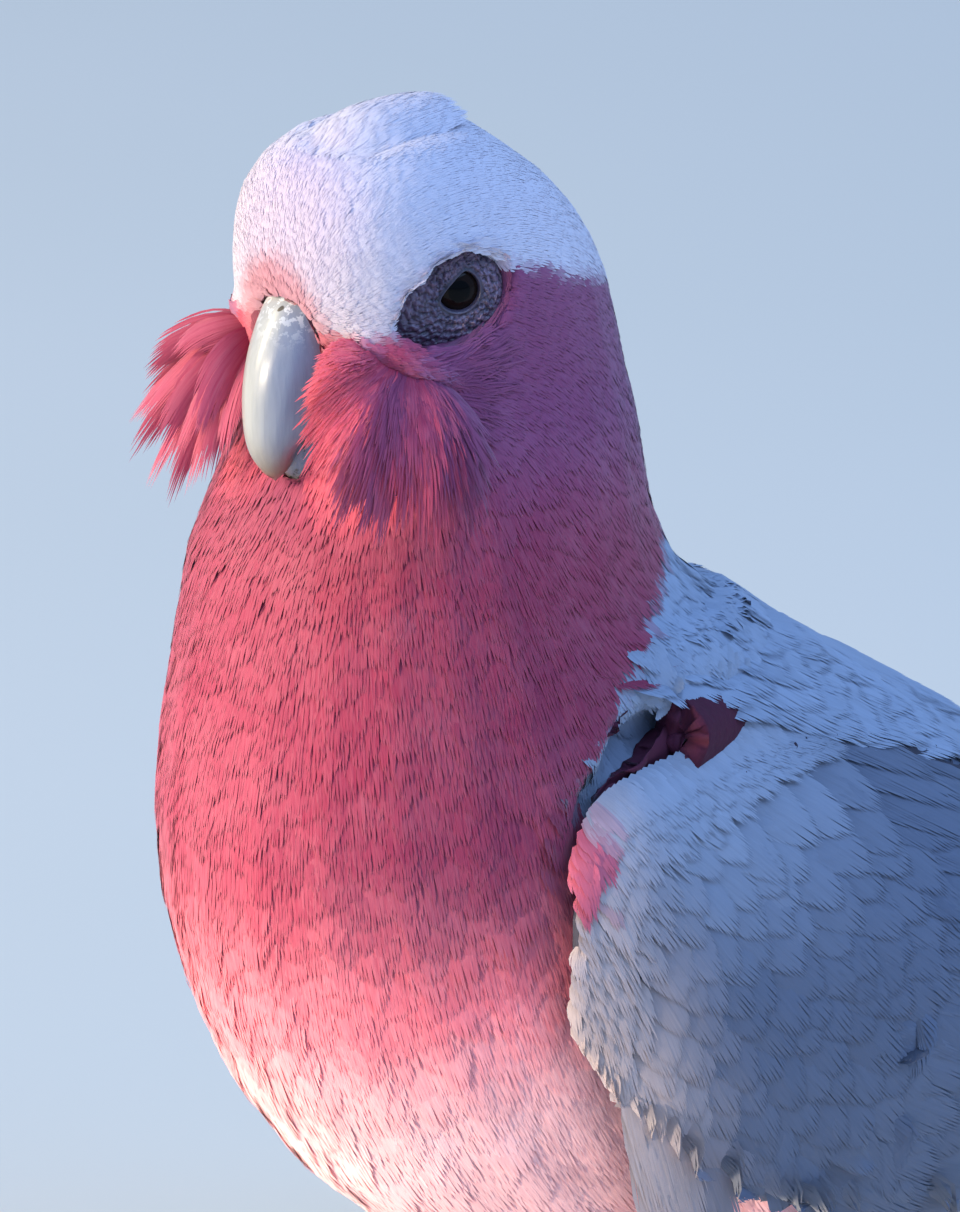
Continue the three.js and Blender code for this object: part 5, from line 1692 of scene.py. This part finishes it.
def claw_material():
    """Dark horn, streaked and a little worn."""
    made, tree = new_material("claw_horn", Roughness=0.35, Coat_Weight=0.2, Coat_Roughness=0.3)
    worn = noise(tree, on_object(tree), 900, 4, 0.65)
    dyed(tree, blended(tree, worn.between(0.35, 0.7), srgb(44, 40, 42), srgb(96, 90, 88)), worn, 0.3)
    return made


def left_leg():
    """Paths and girths of the left shank, ankle and toes, and its claws."""
    limbs = [(SHANK, SHANK_GIRTH), ([(21, 70.5, 4.6), (21, 66, 4.7), (21, 61.5, 4.2)], [2.9, 3.9, 3.0])]
    claws = []
    for heading, length, claw_length in TOES:
        end = 2.6 + length
        toe = [(1, 4.1), (end * 0.33, 3.6), (end * 0.66, 3.1), (end, 2.5)]
        limbs.append(([toe_place(heading, *at) for at in toe], TOE_GIRTH))
        horn = [(end - 0.6, 2.7), (end + 0.35 * claw_length, 3.4), (end + 0.7 * claw_length, 2.8),
                (end + claw_length, 0.5)]
        claws.append(claw([toe_place(heading, *at) for at in horn], [1.7, 1.4, 0.95, 0.2]))
    return limbs, joined(claws)


def make_legs():
    """Scaled shanks and feet, two toes forwards and two back, and their claws."""
    tree, scales, horn = scaled_limb_tree(), leg_material(), claw_material()
    sizes = bpy.context.scene.galah_sizes
    settings = {"Ring Step": 0.28 * MM, "Scute Length": sizes.scute, "Scale Size": sizes.scale,
                "Height": sizes.scale_height, "Skin": scales}
    limbs, (points, triangles) = left_leg()
    for side, word in SIDES:
        whole = bmesh.new()
        for line, girths in limbs:
            whole.from_mesh(grown(limb_path(np.array(line, float) * [side, 1, 1], girths), tree, settings))
        bmesh.ops.recalc_face_normals(whole, faces=whole.faces)
        mesh = bpy.data.meshes.new(f"leg_{word}")
        whole.to_mesh(mesh)
        whole.free()
        mesh.shade_smooth()
        mesh.materials.clear()
        mesh.materials.append(scales)
        dressed(placed(f"leg_{word}_skin", mesh), "leg_scale", f"shank_{word}", f"foot_{word}")
        claws = new_object(f"claws_{word}", points * [side, 1, 1], triangles[:, ::side], horn)
        toes = ("front_inner", "front_outer", "back_outer", "back_inner")
        dressed(claws, "claw_horn", *(f"claw_{word}_{toe}" for toe in toes))


# Stage.

def lamp(name, kind, aim, way, distance, power, colour, **settings):
    """A lamp that stands some way off from what it shines on."""
    data = bpy.data.lights.new(name, kind)
    data.energy = power
    data.color = colour
    for label, value in settings.items():
        setattr(data, label, value)
    way = way.normalized()
    light = placed(name, data)
    light.location = aim + way * distance
    light.rotation_euler = (-way).to_track_quat("-Z", "Y").to_euler()


def make_floor(half=8):
    """A wide pale floor under the bird."""
    mesh = bpy.data.meshes.new("floor")
    corners = [(-half, -half, 0), (half, -half, 0), (half, half, 0), (-half, half, 0)]
    mesh.from_pydata(corners, [], [(0, 1, 2, 3)])
    made, tree = new_material("pale_floor", Roughness=0.9)
    speck = noise(tree, on_object(tree), 3, 2)
    dyed(tree, blended(tree, speck, (0.62, 0.64, 0.6, 1), (0.68, 0.69, 0.66, 1)))
    mesh.materials.append(made)
    floor = placed("floor", mesh)


def make_stage(view):
    scene = bpy.context.scene
    round_by, up_by = view.azimuth, view.elevation
    level = math.cos(up_by)
    back = Vector((math.sin(round_by) * level, -math.cos(round_by) * level, math.sin(up_by)))
    right = Vector((math.cos(round_by), math.sin(round_by), 0))
    by_eye = Vector(to_frame([EYE[0] + 2.3, EYE[1] - 0.1, EYE[2] - 1.1]))
    aim = by_eye + right * view.right_of_eye - back.cross(right) * view.below_eye
    camera = placed("camera", bpy.data.cameras.new("camera"))
    camera.data.lens = view.lens
    camera.data.sensor_width = 36
    camera.data.clip_end = 50
    camera.location = aim + back * view.distance
    camera.rotation_euler = back.to_track_quat("Z", "Y").to_euler()
    scene.camera = camera
    make_floor()
    world = bpy.data.worlds.new("room")
    world.use_nodes = True
    sky = world.node_tree.nodes["Background"].inputs
    sky[0].default_value = (0.35, 0.57, 1.0, 1)
    sky[1].default_value = 0.7
    scene.world = world
    key_way = -right * 0.97 + back * 0.08 + Vector((0, 0, 0.36))
    lamp("key", "AREA", aim, key_way, 2.4, 72, (1.0, 0.84, 0.54), size=1.0)
    fill_way = right * 0.7 + back * 0.6 + Vector((0, 0, 1.2))
    lamp("fill", "AREA", aim, fill_way, 1.8, 20, (0.34, 0.57, 1.0), size=1.2)
    low_way = -right * 0.8 + back * 0.6 - Vector((0, 0, 0.02))
    lamp("low", "SPOT", Vector(to_frame([5, 15, 45])), low_way, 1.5, 215, (1.0, 0.84, 0.62),
         spot_size=math.radians(10), spot_blend=1.0, shadow_soft_size=0.1)
    scene.view_settings.view_transform = "Standard"


# The add-on.

def tint(name, description, red, green, blue):
    """A colour that a user can change, from the usual 0 to 255 values."""
    return bpy.props.FloatVectorProperty(
        name=name, description=description, default=srgb(red, green, blue), size=4, min=0, max=1,
        subtype="COLOR")


class GalahColours(bpy.types.PropertyGroup):
    """Colours of the coat, the bill, the bare skin and the legs, some of them with painted light or shade."""

    white: tint("White", "The crown and the crest", 226, 216, 228)
    forehead: tint("Forehead", "The front of the crown", 216, 198, 222)
    bill_fringe: tint("Bill fringe", "The short feathers round the bill", 212, 126, 136)
    face: tint("Face", "The side of the face", 140, 62, 106)
    # Cheek: partly painted light, redder for the lit front lobe of the cheek.
    cheek: tint("Cheek", "The long cheek feathers", 204, 76, 100)
    fold: tint("Fold", "The fold below the eye", 160, 120, 162)
    rose: tint("Rose", "The sides of the neck", 140, 42, 80)
    breast: tint("Breast", "The throat and the breast", 160, 50, 80)
    # Belly and low belly: partly their own paler tone and partly painted light from below.
    belly: tint("Belly", "The lower breast", 240, 124, 138)
    low_belly_tone_and_light: tint("Low belly", "The belly and the thighs", 250, 188, 190)
    # Grey: partly painted skylight, paler and bluer for the upturned back.
    grey: tint("Grey", "The back", 152, 164, 188)
    pale_grey: tint("Pale grey", "The rump and the vent", 172, 178, 192)
    # Gap: painted shade for the bare skin at the bottom of the hollow between the back and the wing.
    gap: tint("Gap", "The hollow between the back and the wing", 84, 24, 52)
    wing_front: tint("Wing front", "The coverts at the bend of the wing", 190, 172, 172)
    wing_pink: tint("Wing pink", "The patch on the bend of the wing", 214, 100, 122)
    # Wing top: painted skylight on the upward-facing coverts near the back.
    wing_top_skylight: tint("Wing top", "The coverts near the back", 160, 168, 188)
    covert: tint("Coverts", "The coverts on the side of the wing", 98, 108, 132)
    secondary: tint("Secondaries", "The inner flight feathers", 100, 110, 132)
    primary: tint("Primaries", "The outer flight feathers", 84, 92, 108)
    tail: tint("Tail", "The tail feathers", 96, 104, 122)
    bill: tint("Bill", "The horn of the bill", 176, 178, 180)
    # Bill side: painted shade on the left side of the bill.
    bill_painted_shade: tint("Bill side", "The left side of the bill", 136, 144, 166)
    bill_tip: tint("Bill tip", "The worn tip of the bill", 120, 104, 84)
    bill_flake: tint("Bill flakes", "The flaking horn at the bill's root", 240, 242, 248)
    bill_stain: tint("Bill stain", "Specks on the bill", 70, 62, 52)
    bare_skin: tint("Bare skin", "The ring round the eye", 134, 108, 128)
    leg: tint("Legs", "The scales of the legs and feet", 146, 138, 138)


def size_choice(name, description, size):
    """A length in metres that a user can change."""
    return bpy.props.FloatProperty(name=name, description=description, default=size, min=0, unit="LENGTH")


class GalahSizes(bpy.types.PropertyGroup):
    """Sizes of what stands up from the bird's surface."""

    crest: size_choice("Crest height", "How high the folded crest stands over the crown", 0.0023)
    pebble: size_choice("Ring pebbles", "How high the pebbles of the eye's ring stand", 0.00034)
    scute: size_choice("Scutes", "How long the scutes down the front of the leg are", 0.0019)
    scale: size_choice("Leg scales", "How wide the round scales of the leg are", 0.001)
    scale_height: size_choice("Scale height", "How high the scales of the leg stand", 0.00032)


def angle_choice(name, description, degrees):
    """An angle that a user can change."""
    return bpy.props.FloatProperty(
        name=name, description=description, default=math.radians(degrees), subtype="ANGLE")


class GalahView(bpy.types.PropertyGroup):
    """Where the camera stands."""

    azimuth: angle_choice("Azimuth", "How far round from the bird's front the camera stands", 50)
    elevation: angle_choice("Elevation", "How far above the horizon the camera stands", 17)
    distance: size_choice("Distance", "From the camera to the point it looks at", 2.0)
    lens: bpy.props.FloatProperty(
        name="Lens", description="Focal length of the camera in millimetres", default=415.8)
    right_of_eye: size_choice("Right of eye", "How far right of the near eye the camera looks", 0.003)
    below_eye: size_choice("Below eye", "How far below the near eye the camera looks", 0.044857)


class GALAH_OT_stage(bpy.types.Operator):
    """Sets the camera, the lights and the pale floor"""

    bl_idname = "galah.stage"
    bl_label = "Stage"

    def execute(self, context):
        make_stage(context.scene.galah_view)
        return {"FINISHED"}


class GALAH_OT_skin(bpy.types.Operator):
    """Makes the one skin under the coat"""

    bl_idname = "galah.skin"
    bl_label = "Skin"

    def execute(self, context):
        make_skin()
        return {"FINISHED"}


class GALAH_OT_body_coat(bpy.types.Operator):
    """Lays the small feathers of the head, neck, trunk and back"""

    bl_idname = "galah.body_coat"
    bl_label = "Body feathers"

    def execute(self, context):
        make_body_coat()
        return {"FINISHED"}


class GALAH_OT_wings(bpy.types.Operator):
    """Lays the coverts and the flight feathers of both folded wings"""

    bl_idname = "galah.wings"
    bl_label = "Wings"

    def execute(self, context):
        make_wings()
        return {"FINISHED"}


class GALAH_OT_tail(bpy.types.Operator):
    """Lays the twelve tail feathers"""

    bl_idname = "galah.tail"
    bl_label = "Tail"

    def execute(self, context):
        make_tail()
        return {"FINISHED"}


class GALAH_OT_cheeks(bpy.types.Operator):
    """Fans out the long feathers of both cheeks"""

    bl_idname = "galah.cheeks"
    bl_label = "Cheeks"

    def execute(self, context):
        make_cheeks()
        return {"FINISHED"}


class GALAH_OT_crest(bpy.types.Operator):
    """Lays the crest along the crown"""

    bl_idname = "galah.crest"
    bl_label = "Crest"

    def execute(self, context):
        make_crest()
        return {"FINISHED"}


class GALAH_OT_eyes(bpy.types.Operator):
    """Makes the eyes, their lids and the bare rings round them"""

    bl_idname = "galah.eyes"
    bl_label = "Eyes"

    def execute(self, context):
        make_eyes()
        return {"FINISHED"}


class GALAH_OT_bill(bpy.types.Operator):
    """Makes both halves of the bill"""

    bl_idname = "galah.bill"
    bl_label = "Bill"

    def execute(self, context):
        make_bill()
        return {"FINISHED"}


class GALAH_OT_legs(bpy.types.Operator):
    """Makes the shanks, feet and claws"""

    bl_idname = "galah.legs"
    bl_label = "Legs"

    def execute(self, context):
        make_legs()
        return {"FINISHED"}


class GALAH_PT_panel(bpy.types.Panel):
    """Lists the bird's pieces"""

    bl_idname = "GALAH_PT_panel"
    bl_label = "Galah"
    bl_space_type = "VIEW_3D"
    bl_region_type = "UI"
    bl_category = "Galah"

    def draw(self, context):
        for group in (context.scene.galah_sizes, context.scene.galah_colours):
            for choice in group.__annotations__:
                self.layout.prop(group, choice)
        for operator in OPERATORS:
            self.layout.operator(operator.bl_idname)


OPERATORS = (
    GALAH_OT_stage, GALAH_OT_skin, GALAH_OT_body_coat, GALAH_OT_wings, GALAH_OT_tail, GALAH_OT_cheeks,
    GALAH_OT_crest, GALAH_OT_eyes, GALAH_OT_bill, GALAH_OT_legs,
)
CLASSES = (GalahView, GalahColours, GalahSizes, *OPERATORS, GALAH_PT_panel)


def register():
    for made in CLASSES:
        bpy.utils.register_class(made)
    bpy.types.Scene.galah_view = bpy.props.PointerProperty(type=GalahView)
    bpy.types.Scene.galah_colours = bpy.props.PointerProperty(type=GalahColours)
    bpy.types.Scene.galah_sizes = bpy.props.PointerProperty(type=GalahSizes)


def unregister():
    del bpy.types.Scene.galah_view, bpy.types.Scene.galah_colours, bpy.types.Scene.galah_sizes
    for made in reversed(CLASSES):
        bpy.utils.unregister_class(made)


def main():
    register()
    bpy.ops.galah.stage()
    bpy.ops.galah.skin()
    bpy.ops.galah.body_coat()
    bpy.ops.galah.wings()
    bpy.ops.galah.tail()
    bpy.ops.galah.cheeks()
    bpy.ops.galah.crest()
    bpy.ops.galah.eyes()
    bpy.ops.galah.bill()
    bpy.ops.galah.legs()


if __name__ == "__main__":
    main()
